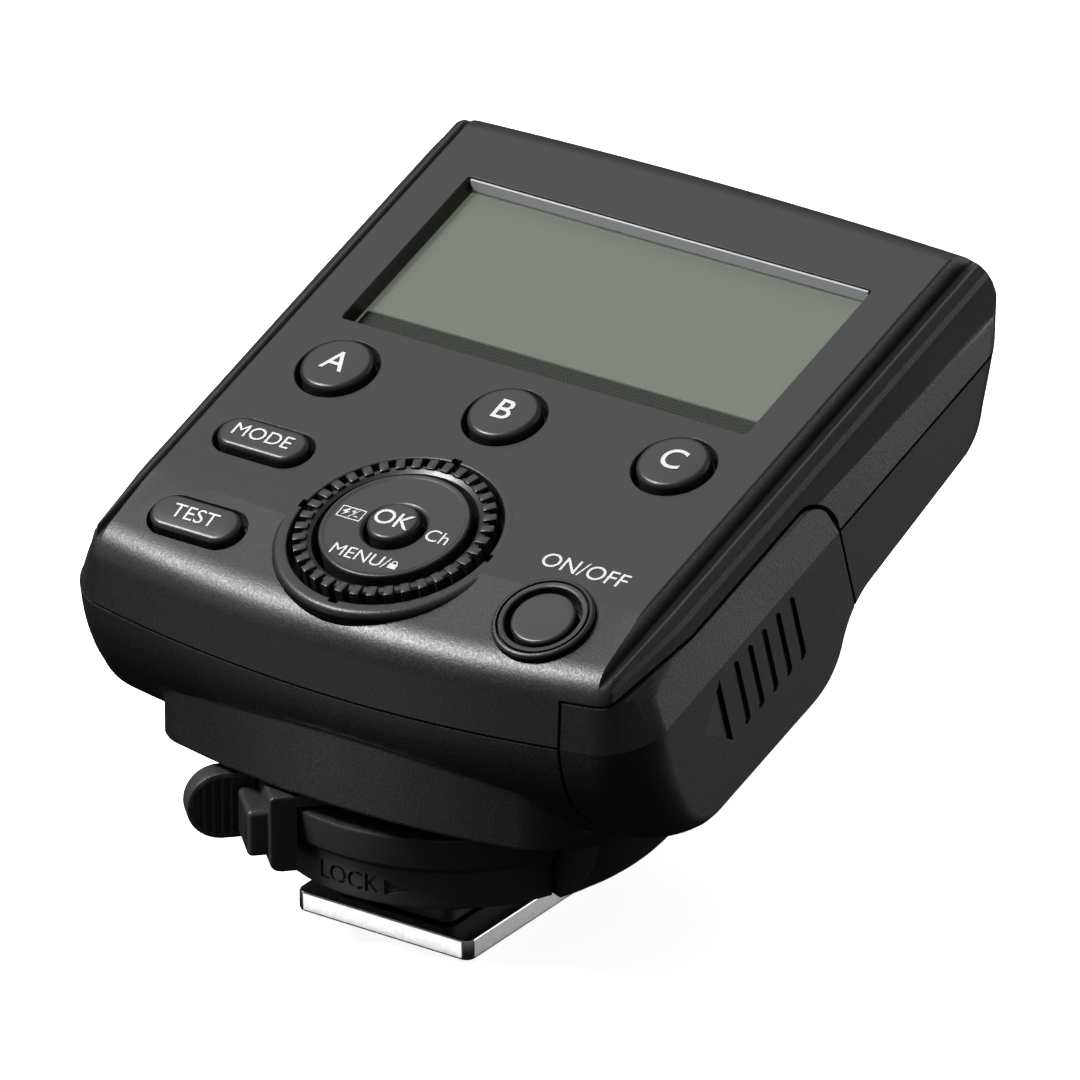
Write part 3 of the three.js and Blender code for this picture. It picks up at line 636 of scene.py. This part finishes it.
def cover_space(grow):
    """The space of the battery cover, grown on every open side by the given amount."""
    left, foot = COVER["left"] - grow, COVER["foot"] - grow
    far, top = COVER["far"] + grow, COVER["top"] + grow
    side = rounded([(-30, -30), (far, -30), (far, top, COVER["corner"]), (-30, top)], 8)
    right = HALF_WIDTH + 6
    front = rounded([(left, 0), (left, COVER["bend"], 4), (foot, -19), (foot, -30), (right, -30),
                     (right, 0)])
    return common(sideways(side, left - 3, right), lengthwise(front, -30, 30))


GAP = 0.3
DIAL = centre("dial_ring")
DIAL_HOLE, BOSS_RADIUS, BOSS_EDGE = 9.6, 11.0, 0.6
POWER = centre("power_button", FACET)
POWER_BOSS, POWER_RISE, POWER_HOLE = 4.6, 0.55, 3.45


def boss(radius, low, top, edge=0.3):
    profile = [(0, low), (radius, low)]
    profile += [(radius - inset, height) for inset, height in edge_levels(top, edge)]
    return turned(profile + [(0, top)])


def grown_pill(inset):
    return pill(5.0 - inset, 2.35 - inset)


def shell_openings():
    """Cutters for the window, the dial and the buttons."""
    low, high = extent("screen_window")
    middle = (low + high) / 2
    window = flared(
        lambda inset: rectangle((high.x - low.x) / 2 + GAP - inset,
                                (high.y - low.y) / 2 + GAP - inset, 0.35 - inset), 6, 0.15)
    cutters = [moved(window, (middle.x, middle.y, 0))]
    for letter in "abc":
        place = centre(f"button_{letter}")
        hole = flared(lambda inset: circle(3.8 - inset), 6)
        cutters.append(moved(hole, (place.x, place.y, 0)))
    mode, test = centre("mode_button"), centre("test_button", FACET)
    to_panel = PANEL.inverted() @ FACET
    cutters.append(moved(flared(grown_pill, 6), (mode.x, mode.y, 0)))
    cutters.append(moved(flared(grown_pill, 6), (test.x, test.y, 0), to_panel))
    dial = flared(lambda inset: circle(DIAL_HOLE - inset, 128), 6, 0.18)
    cutters.append(moved(dial, (DIAL.x, DIAL.y, -0.01)))
    for turn in range(4):
        notch = soft_block((DIAL_HOLE - 0.5, -0.5, -0.9), (DIAL_HOLE + 0.5, 0.5, 1), 0.12, 2)
        around = Matrix.Rotation(math.pi / 2 * turn, 4, "Z")
        cutters.append(moved(notch, around, (DIAL.x, DIAL.y, 0)))
    power = flared(lambda inset: circle(POWER_HOLE - inset), 6, 0.2)
    groove = turned([(3.98, POWER_RISE - 0.6), (4.2, POWER_RISE - 0.6), (4.24, POWER_RISE + 1),
                     (3.94, POWER_RISE + 1)])
    for cutter in (moved(power, (0, 0, POWER_RISE)), groove):
        cutters.append(moved(cutter, (POWER.x, POWER.y, 0), to_panel))
    return cutters


def upper_outside():
    """The outer form of the upper half, with its shoulders and bosses."""
    form = common(upper_form(), shoulders())
    dial = moved(boss(BOSS_RADIUS, -4, -0.01, BOSS_EDGE), (DIAL.x, DIAL.y, 0))
    power = moved(boss(POWER_BOSS, -1, POWER_RISE), (POWER.x, POWER.y, 0), PANEL.inverted() @ FACET)
    return join(form, dial, power)


def make_boss_painted_shades():
    """Black rings round the feet of the two bosses, where the facet falls away from them: painted
    shade, dark sleeves put where there is only the shadow at the foot of each boss wall.
    """
    for name, place, radius, low, high, space in (
        ("dial_boss_painted_shade", DIAL, BOSS_RADIUS, -2.2, -BOSS_EDGE, PANEL),
        ("power_boss_painted_shade", POWER, POWER_BOSS, -0.3, POWER_RISE - 0.3, FACET),
    ):
        inner, outer = radius - 0.5, radius + 0.04
        ring = turned([(inner, low), (outer, low), (outer, high), (inner, high)])
        piece(name, moved(ring, (place.x, place.y, 0)), BOSS_PAINTED_SHADE, "casing", "casing", space=space)


def on_panel_break(point):
    return abs(point.y - FACET_V) < 0.3 and point.z > -0.05


def on_seam(point):
    return abs(point.z - SEAM) < 0.01


def make_upper_shell():
    above = block((-40, -40, SEAM + GAP / 2), (40, 60, 10))
    shell = common(upper_outside(), above)
    shell = cut(shell, cavity(), cover_space(GAP), *shell_openings())
    piece("upper_shell_skin", shell, CASING, "casing", "casing", "upper_shell",
          space=PANEL, crease=on_panel_break)


# ---------------------------------------------------------------- lower shell and neck

NECK = {"left": -21.0, "right": 22.6, "lobe": 26.0, "user": -15.4, "front": 15.0,
        "lobe_front": 21.0, "bottom": 15.4, "lobe_top": 17.6, "wall": 1.8, "floor_top": 16.2}
LOBE_FROM, LOBE_TO = -22, 48


def neck_outline(inset=0.0):
    """Plan of the neck: straight on the left, bowed towards the user, a round lobe on the right."""
    left, user = NECK["left"] + inset, NECK["user"] + inset
    front, radius = NECK["lobe_front"] - inset, NECK["lobe"] - inset
    lock_y = LOCK.translation.y
    start = math.radians(LOBE_FROM)
    points = path(
        (left, front - 6), (left, user + 4.4), (left, user + 1.9, left + 3, user + 1.5),
        (0, user - 2.7, NECK["lobe"] - 8, user + 1.3),
        (radius * 0.84, user + 2.3, radius * math.cos(start), lock_y + radius * math.sin(start)),
        smooth=14,
    )
    points += arc(0, lock_y, radius, LOBE_FROM, LOBE_TO, 28)[1:]
    return points + path((left + 6, front), (left, front, left, front - 6))[:-1]


def junction(outline, ceiling, radius=1.4, steps=8):
    """A soft concave fillet where a wall with that plan runs up into the surface above it."""
    tree = BVHTree.FromObject(ceiling, bpy.context.evaluated_depsgraph_get())
    fits = []
    for i in range(1, len(outline) - 1):
        (x0, y0), (x, y), (x1, y1) = outline[i - 1:i + 2]
        out = Vector((y1 - y0, x0 - x1, 0)).normalized()
        heights = []
        for step in range(25):
            reach = 2 * radius * step / 24
            hit = tree.ray_cast(Vector((x, y, -50)) + out * reach, Vector((0, 0, 1)))[0]
            if hit is None:
                break
            heights.append((reach, hit.z))
        if len(heights) < 6:
            continue
        ball, touch = min(
            (height - math.sqrt(max(0, radius ** 2 - (radius - reach) ** 2)), (reach, height))
            for reach, height in heights
        )
        fits.append((x, y, out, heights[0][1], ball, *touch))
    rings = []
    for i, (x, y, out, root, *_) in enumerate(fits):
        near = fits[max(0, i - 3):i + 4]
        ball, *touch = (sum(fit[k] for fit in near) / len(near) for k in (4, 5, 6))
        last = math.atan2(touch[1] - ball, touch[0] - radius)
        section = [(-0.6, ball)]
        for step in range(steps + 1):
            angle = math.pi + (last - math.pi) * step / steps
            section.append((radius + radius * math.cos(angle), ball + radius * math.sin(angle)))
        section += [(touch[0], touch[1] + 0.7), (-0.6, root + 0.7)]
        rings.append([(x + out.x * reach, y + out.y * reach, z) for reach, z in section])
    return loft(rings)


def make_lower_shell():
    to_panel = PANEL.inverted()
    form = lower_form()
    ceiling = moved(lower_form(), PANEL)
    bottom = NECK["bottom"]
    foot = [(0.5, bottom), (0.15, bottom + 0.15), (0, bottom + 0.5)]
    tall = stack(neck_outline, [*foot, (0, 30)])
    tall = common(tall, block((-40, -40, 0), (NECK["right"], NECK["front"], 40)))
    top = NECK["lobe_top"]
    lobe = stack(neck_outline, [*foot, *edge_levels(top, 0.5)])
    outline = neck_outline()
    walled = [point for point in outline if point[0] < NECK["right"] and point[1] < 14]
    fillet = junction(walled, ceiling)
    bpy.data.objects.remove(ceiling)
    rim = prism(neck_outline(NECK["wall"]), bottom - 6, NECK["floor_top"] + GAP)
    neck = join(tall, lobe, fillet)
    shell = cut(join(form, moved(neck, to_panel)), moved(rim, to_panel))
    shell = common(shell, block((-40, -40, -40), (40, 60, SEAM - GAP / 2)))
    inside = cavity()
    for name in ("case_screw_1", "case_screw_2"):
        place = centre(name)
        inside = cut(inside, moved(boss(3.4, -13, -9.5), (place.x, place.y, 0)))
        pocket = turned([(0, -20), (2.2, -20), (2.2, -11.9), (1.15, -11.9), (1.15, -6), (0, -6)])
        shell = cut(shell, moved(pocket, (place.x, place.y, 0)))
    shell = cut(shell, inside, cover_space(GAP))
    piece("lower_shell_skin", shell, CASING, "casing", "casing", "lower_shell", space=PANEL)


# ---------------------------------------------------------------- battery cover


MARK_DEPTH, MARK_MIDDLE, MARK_HALF = 0.38, -11.6, 3.5
BARS, FIRST_BAR, BAR_PITCH = 5, -1.9, 2.25


def sunk(outline, near, far):
    """A cutter for the right side wall whose floor ramps down from v = near to v = far."""
    cutter = sideways(outline, HALF_WIDTH - 1, HALF_WIDTH + 1)
    for vertex in cutter.data.vertices:
        if vertex.co.x < HALF_WIDTH:
            vertex.co.x = HALF_WIDTH - MARK_DEPTH * (vertex.co.y - near) / (far - near)
    return cutter


def slide_marks():
    """A row of bars and an arrow head, sunk with ramped floors, that point towards the user."""
    marks = []
    for i in range(BARS):
        v = FIRST_BAR + BAR_PITCH * i
        bar = [(v - y, MARK_MIDDLE + x) for x, y in pill(MARK_HALF, 0.55)]
        marks.append(sunk(bar, v - 0.62, v + 0.55))
    tip, base = -7.7, -4.3
    head = [(tip, MARK_MIDDLE), (base, MARK_MIDDLE - MARK_HALF), (base, MARK_MIDDLE + MARK_HALF)]
    return [*marks, sunk(head, tip - 0.1, base)]


def make_battery_cover():
    cover = cut(join(upper_outside(), lower_form()), cavity())
    cover = cut(common(cover, cover_space(0)), *slide_marks())
    piece("battery_cover_skin", cover, CASING, "casing", "battery_cover", "battery_cover",
          space=PANEL, crease=on_seam)


# ---------------------------------------------------------------- buttons


def round_cap(radius, top, foot, edge=0.5, dome=0.08):
    flange = [(0, foot), (1.4, foot), (1.4, -2.75), (radius + 0.8, -2.75), (radius + 0.8, -2.15),
              (radius, -2.15)]
    rim = [(radius - inset, height) for inset, height in edge_levels(top - dome, edge, 6)]
    reach = radius - edge
    crown = [(reach * (1 - i / 6), top - dome * (1 - i / 6) ** 2) for i in range(1, 7)]
    return turned(flange + rim + crown)


def pill_cap(top, foot, edge=0.5, dome=0.08):
    half_length, half_height = 5.0 - 0.45, 2.35 - 0.45
    levels = [(0, -2.75)]
    levels += edge_levels(top - dome, edge, 6)
    reach = half_height - edge - 0.1
    levels += [(edge + reach * i / 5, top - dome * (1 - i / 5) ** 2) for i in range(1, 6)]
    body = stack(lambda inset: pill(half_length - inset, half_height - inset), levels)
    flange = stack(lambda inset: pill(5.5 - inset, 2.85 - inset), [(0, -2.7), (0, -2.15)])
    return join(body, flange, boss(1.4, foot, -2.0, 0.1))


def make_buttons():
    for letter in "abc":
        node = f"button_{letter}"
        place = centre(node)
        top = extent(node)[1].z
        cap = moved(round_cap(3.3, top, -3.0), (place.x, place.y, 0))
        piece(f"{node}_cap", cap, CAP, "cap", node, node, space=PANEL)
    for node, space, foot in (("mode_button", PANEL, -3.0), ("test_button", FACET, -2.8)):
        place = centre(node, space)
        cap = moved(pill_cap(extent(node, space)[1].z, foot), (place.x, place.y, 0))
        piece(f"{node}_cap", cap, CAP, "cap", node, node, space=space)
    top = extent("power_button", FACET)[1].z
    cap = moved(round_cap(2.95, top, -2.8, edge=0.35, dome=0.0), (POWER.x, POWER.y, 0))
    piece("power_button_cap", cap, CAP, "cap", "power_button", "power_button", space=FACET)


# ---------------------------------------------------------------- dial, arrow pad and OK button

TEETH = 36


def make_dial():
    low, high = extent("dial_ring")
    top = high.z
    ring = turned([
        (7.3, low.z), (9.9, low.z), (9.9, -3.15), (8.45, -3.15), (8.45, 0.0), (8.3, 0.18),
        (7.85, 0.25), (7.45, 0.05), (7.3, -0.25),
    ], 144)
    teeth = []
    for i in range(TEETH):
        tooth = soft_block((7.8, -0.44, -3.3), (9.05, 0.44, top), 0.14, 2)
        teeth.append(moved(tooth, Matrix.Rotation(2 * math.pi * i / TEETH, 4, "Z")))
    dial = moved(join(ring, *teeth), (DIAL.x, DIAL.y, 0))
    piece("dial_ring_knurled", dial, CAP, "cap", "dial", "dial_ring", space=PANEL)


PAD_FACE = extent("arrow_pad")[1].z - 0.15


def make_arrow_pad():
    top = extent("arrow_pad")[1].z
    profile = [(2.85, -1.5), (6.75, -1.5)]
    profile += [(6.75 - inset, height) for inset, height in edge_levels(top, 0.22)]
    profile += [(6.3, top - 0.08), (6.05, PAD_FACE), (3.25, PAD_FACE), (3.0, top - 0.24),
                (2.85, top - 0.42)]
    pad = moved(turned(profile, 128), (DIAL.x, DIAL.y, 0))
    piece("arrow_pad_disc", pad, CAP, "cap", "arrow_pad", "arrow_pad", space=PANEL)


def make_ok_button():
    top = extent("ok_button")[1].z
    profile = [(0, -3.3), (1.4, -3.3), (1.4, -2.8), (3.0, -2.8), (3.0, -2.5), (2.35, -2.5)]
    profile += [(2.35 - inset, height) for inset, height in edge_levels(top - 0.06, 0.38, 6)]
    profile += [(1.2, top - 0.02), (0, top)]
    button = moved(turned(profile), (DIAL.x, DIAL.y, 0))
    piece("ok_button_cap", button, CAP, "cap", "ok_button", "ok_button", space=PANEL)


# ---------------------------------------------------------------- legends


def lettering(text, size, bold=0.0):
    """Flat lettering as a thin solid, centred on the origin."""
    curve = bpy.data.curves.new("lettering", "FONT")
    curve.body = text
    curve.size = size
    curve.align_x = "CENTER"
    curve.align_y = "CENTER"
    curve.offset = bold
    curve.resolution_u = 6
    curve.extrude = 0.02
    source = bpy.data.objects.new("lettering", curve)
    scene.collection.objects.link(source)
    mesh = bpy.data.meshes.new_from_object(
        source.evaluated_get(bpy.context.evaluated_depsgraph_get()))
    bpy.data.objects.remove(source)
    work = bmesh.new()
    work.from_mesh(mesh)
    bmesh.ops.remove_doubles(work, verts=work.verts, dist=1e-4)
    bmesh.ops.recalc_face_normals(work, faces=work.faces)
    work.to_mesh(mesh)
    work.free()
    body = bpy.data.objects.new("lettering", mesh)
    scene.collection.objects.link(body)
    return body


def legend(name, body, rides, x, v, n, space=PANEL, slant=0.0):
    stretch = Matrix.Identity(4)
    stretch[0][1] = slant
    moved(body, stretch, (x, v, n + 0.02))
    piece(f"legend_{name}", body, MARKING, "marking", rides, space=space)


def frame_of(half_x, half_y, line):
    outer = prism(rectangle(half_x, half_y, 0.12), -0.02, 0.02)
    return cut(outer, prism(rectangle(half_x - line, half_y - line, 0.05), -1, 1))


def flash_icon():
    """A small boxed flash bolt beside plus and minus signs."""
    bolt = prism([(-0.95, 0.05), (-0.5, 0.5), (-0.28, 0.5), (-0.5, 0.12), (-0.2, 0.12),
                  (-0.82, -0.5), (-0.62, -0.05)], -0.02, 0.02)
    stroke = prism([(-0.1, -0.5), (0.02, -0.5), (0.66, 0.5), (0.54, 0.5)], -0.02, 0.02)
    plus = join(block((-0.05, 0.2, -0.02), (0.35, 0.32, 0.02)),
                block((0.09, 0.06, -0.019), (0.21, 0.46, 0.019)))
    minus = block((0.4, -0.32, -0.02), (0.8, -0.2, 0.02))
    return join(frame_of(1.25, 0.72, 0.11), bolt, stroke, plus, minus)


def padlock():
    body = prism(rectangle(0.42, 0.3, 0.06), -0.02, 0.02)
    shackle = cut(prism(pill_up(0.3), -0.02, 0.02), prism(pill_up(0.18), -1, 1))
    return join(body, moved(shackle, (0, 0.25, 0)))


def pill_up(radius):
    return [(-radius, -0.1), (radius, -0.1), *arc(0, 0.15, radius, 0, 180, 8)]


def make_legends():
    for letter in "abc":
        node = f"button_{letter}"
        low, high = extent(node)
        place = (low + high) / 2
        legend(letter, lettering(letter.upper(), 3.5, 0.02), node, place.x, place.y, high.z)
    for node, word, space in (("mode_button", "MODE", PANEL), ("test_button", "TEST", FACET)):
        place, top = centre(node, space), extent(node, space)[1].z
        legend(word.lower(), lettering(word, 2.2), node, place.x, place.y, top, space)
    ok_top = extent("ok_button")[1].z
    legend("ok", lettering("OK", 2.6, 0.015), "ok_button", DIAL.x, DIAL.y, ok_top - 0.02)
    on_pad = ((4.5, 0.1, "channel", lettering("Ch", 2.1)), (-4.55, 0, "flash", flash_icon()),
              (-0.7, -4.5, "menu", lettering("MENU/", 2.0)), (2.85, -4.6, "padlock", padlock()))
    for x, v, name, body in on_pad:
        legend(name, body, "arrow_pad", DIAL.x + x, DIAL.y + v, PAD_FACE)
    legend("power", lettering("ON/OFF", 2.45), "casing", POWER.x, -4.0, PANEL_TOP)


# ---------------------------------------------------------------- screen


PANE_TOP = -1.25                 # n of the clear window
GLASS_LOW = 20.0                 # v at which the display begins, past a dark band


def make_screen():
    low, high = extent("screen_window")
    middle, half = (low + high) / 2, (high - low) / 2
    window = stack(lambda inset: rectangle(half.x - inset, half.y - inset, 0.3),
                   [(0, PANE_TOP - 0.25), *edge_levels(PANE_TOP, 0.08, 2)])
    piece("screen_window_pane", moved(window, (middle.x, middle.y, 0)), GLASS, "glass", "casing",
          "screen_window", space=PANEL)
    # A pale strip along the far edge of the opening: painted highlight, for the light that this edge
    # catches.
    edge = soft_block((low.x, high.y, PANE_TOP - 0.4), (high.x, high.y + 0.22, -0.1), 0.05, 2)
    piece("screen_edge_painted_highlight", edge, EDGE_HIGHLIGHT_GREY, "screen", "casing", space=PANEL)
    mask = soft_block((low.x, low.y, PANE_TOP - 0.95), (high.x, GLASS_LOW - 0.05, PANE_TOP - 0.45),
                      0.06, 2)
    piece("screen_mask", mask, DARK, "screen", "casing", space=PANEL)
    low, high = extent("screen_module")
    middle, half = (low + high) / 2, (high - low) / 2
    module = stack(lambda inset: rectangle(half.x - inset, half.y - inset, 0.3),
                   [(0, low.z), *edge_levels(high.z, 0.08, 2)])
    low, high = extent("screen_window")
    pane = soft_block((low.x, GLASS_LOW, -3.5), (high.x, high.y, PANE_TOP - 0.3), 0.08, 2)
    module = join(moved(module, (middle.x, middle.y, 0)), pane)
    # The display's material carries painted glow: light of its own.
    piece("screen_module_display", module, SCREEN_PAINTED_GLOW, "screen", "casing", "screen_module",
          space=PANEL)


# ---------------------------------------------------------------- foot

COLLAR_FROM, COLLAR_TO = -165, -22
LEVER_TURN = Matrix.Rotation(math.radians(-135), 4, "Z")
COLLAR_RADIUS = 15.95


def slice_of(start, end, radius, low, high):
    return prism([(0, 0), *arc(0, 0, radius, start, end, 24)], low, high)


def wrapped(body, radius, middle):
    """A flat solid in x and y, with depth in z, bent round the lock axis at that direction."""
    for vertex in body.data.vertices:
        across_, up, depth = vertex.co
        angle = math.radians(middle) + across_ / radius
        reach = radius + depth
        vertex.co = (reach * math.cos(angle), reach * math.sin(angle), up)
    return body


def make_collar():
    low, high = extent("lock_collar", LOCK)
    band = turned([
        (13, low.z), (15.75, low.z), (15.9, low.z + 0.08), (COLLAR_RADIUS, low.z + 0.25),
        (COLLAR_RADIUS, 9.55),
        (16.0, 9.75), (16.7, 10.25), (16.83, 10.42), (16.9, 10.6), (17.34, 13.25), (17.3, 13.5),
        (17.1, high.z), (14.6, high.z), (14.6, 7.7), (13, 7.7),
    ], 180)
    band = common(band, slice_of(COLLAR_FROM, COLLAR_TO, 30, 0, 30))
    disc = turned([(0, low.z), (14.1, low.z), (14.1, 7.7), (0, 7.7)])
    pin = centre("lock_pin", LOCK)
    collar = cut(join(band, disc), moved(boss(1.45, 0, 30), (pin.x, pin.y, 0)))
    word = lettering("LOCK", 2.4, 0.03)
    for vertex in word.data.vertices:
        vertex.co.z *= 20
    arrow = prism([(-0.9, -0.75), (1.5, 0), (-0.9, 0.75)], -0.35, 0.35)
    marks = [wrapped(moved(word, (0, 7.8, 0)), COLLAR_RADIUS, -89.9),
             wrapped(moved(arrow, (0, 7.8, 0)), COLLAR_RADIUS, -73.6)]
    collar = cut(collar, *marks)
    piece("lock_collar_skin", collar, FOOT, "casing", "casing", "lock_collar", space=LOCK)


def make_front_base():
    low, high = extent("front_base", LOCK)
    bowl = turned([
        (14.5, low.z), *path((16.5, low.z), (16.9, low.z, 17.2, 6.5), (18.7, 7.5),
                             (22.0, 9.9, 23.3, high.z)), (14.5, high.z),
    ], 180)
    inside = moved(prism(neck_outline(), 0, 20), LOCK.inverted())
    bowl = cut(common(bowl, inside), slice_of(COLLAR_FROM - 1, COLLAR_TO + 1, 40, 0, 30))
    piece("front_base_skin", bowl, CASING, "casing", "casing", "front_base", space=LOCK)


def upright(body):
    """Stands a stack on edge: its outline is then in x and z, and its heights run along -y."""
    return moved(body, Matrix.Rotation(math.pi / 2, 4, "X"))


RIBS, RIB_PITCH, ROOT_RIBS, ROOT_PITCH = 4, 0.82, 8, 0.6


def thumb_tab():
    """A round-ended tab on edge, with a raised rim and upright ribs on both faces."""
    start, end, low, high, tip = 0.6, 3.0, 8.4, 14.85, 24.05
    radius = (high - low) / 2

    def outline(inset):
        r = radius - inset
        cap = arc(tip - radius, low + radius, r, -90, 90, 24)
        return [(17.8 + inset, low + inset), *cap, (17.8 + inset, high - inset)]

    tab = stack(outline, [(0.35, -end), (0.1, -end + 0.1), (0, -end + 0.35), (0, -start - 0.35),
                          (0.1, -start - 0.1), (0.35, -start)])
    for face, way in ((-end, -1), (-start, 1)):
        bottom, mouth = sorted((face - 0.45 * way, face + way))
        well = stack(lambda inset: outline(0.55), [(0, bottom), (0, mouth)])
        for i in range(RIBS):
            x = 20.0 + RIB_PITCH * i
            inside, outside = sorted((face - way, face - 0.05 * way))
            well = cut(well, soft_block((x - 0.2, low, inside), (x + 0.2, high, outside), 0.1, 2))
        tab = cut(tab, well)
    return upright(tab)


def lever_plate():
    """The arm over the collar's top and the plate down its side, in one angle."""
    out, low, high, edge = 17.7, 7.7, 15.05, 9.0

    def outline(inset):
        return rounded([(11.2, low + inset), (out - inset, low + inset, 1.0),
                        (out - inset, high - inset, 0.4), (11.2, high - inset)])

    angle = stack(outline, [(0.3, -edge), (0.09, -edge + 0.09), (0, -edge + 0.3), (0, 0)])
    return cut(upright(angle), turned([(0, 0), (17.75, 0), (17.75, 13.95), (0, 13.95)], 180))


def make_lever():
    ring = turned([(9.3, 13.95), (12.2, 13.95), (12.2, 15.05), (9.3, 15.05)])
    root = soft_block((16.6, 2.5, 8.9), (19.5, 8.0, 13.35), 0.5, 4)
    root = cut(root, turned([(0, 0), (17.75, 0), (17.75, 20), (0, 20)], 180))
    for i in range(ROOT_RIBS):
        t = 3.1 + ROOT_PITCH * i
        root = cut(root, block((19.25, t, 9.3), (19.7, t + 0.26, 12.9)))
    lever = moved(join(ring, lever_plate(), root, thumb_tab()), LEVER_TURN)
    piece("lock_lever_skin", lever, FOOT, "casing", "lock_lever", "lock_lever", space=LOCK)


def make_shoe():
    low, high = extent("shoe_plate", ROW)
    half = (high - low) / 2
    plate = stack(lambda inset: rectangle(half.x - inset, half.y - inset, 0.9 - inset), [
        (0.25, low.z), (0.07, low.z + 0.07), (0, low.z + 0.25), (0, high.z - 0.25),
        (0.07, high.z - 0.07), (0.25, high.z)])
    opening = prism(rectangle(6.3, 6.7, 1.0), -1, 4)
    piece("shoe_plate_chrome", cut(plate, opening), CHROME, "chrome", "casing", "shoe_plate")


# ---------------------------------------------------------------- finishes of the carried-over nodes

FINISHES = {
    DARK: ("shoe_insert", "shoe_stem", "neck_floor", "battery_tray", "dial_encoder", "pad_pivot",
           "ok_switch"),
    STEEL: ("lock_pin", "case_screw_1", "case_screw_2", "cell_spring_1", "cell_spring_2",
            "contact_bridge", "cover_contact", "radio_shield", "shoe_contact"),
    BRASS: ("antenna", "shoe_pin_1", "shoe_pin_2", "shoe_pin_3", "shoe_pin_4"),
    BOARD: ("main_board", "radio_board"),
    RUBBER: ("keypad_sheet",),
    CELL: ("cell_1", "cell_2"),
}

make_upper_shell()
make_boss_painted_shades()
make_lower_shell()
make_battery_cover()
make_buttons()
make_dial()
make_arrow_pad()
make_ok_button()
make_legends()
make_screen()
make_collar()
make_front_base()
make_lever()
make_shoe()
for material, nodes in FINISHES.items():
    for node in nodes:
        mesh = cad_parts[node].data
        mesh.materials.clear()
        mesh.materials.append(material)
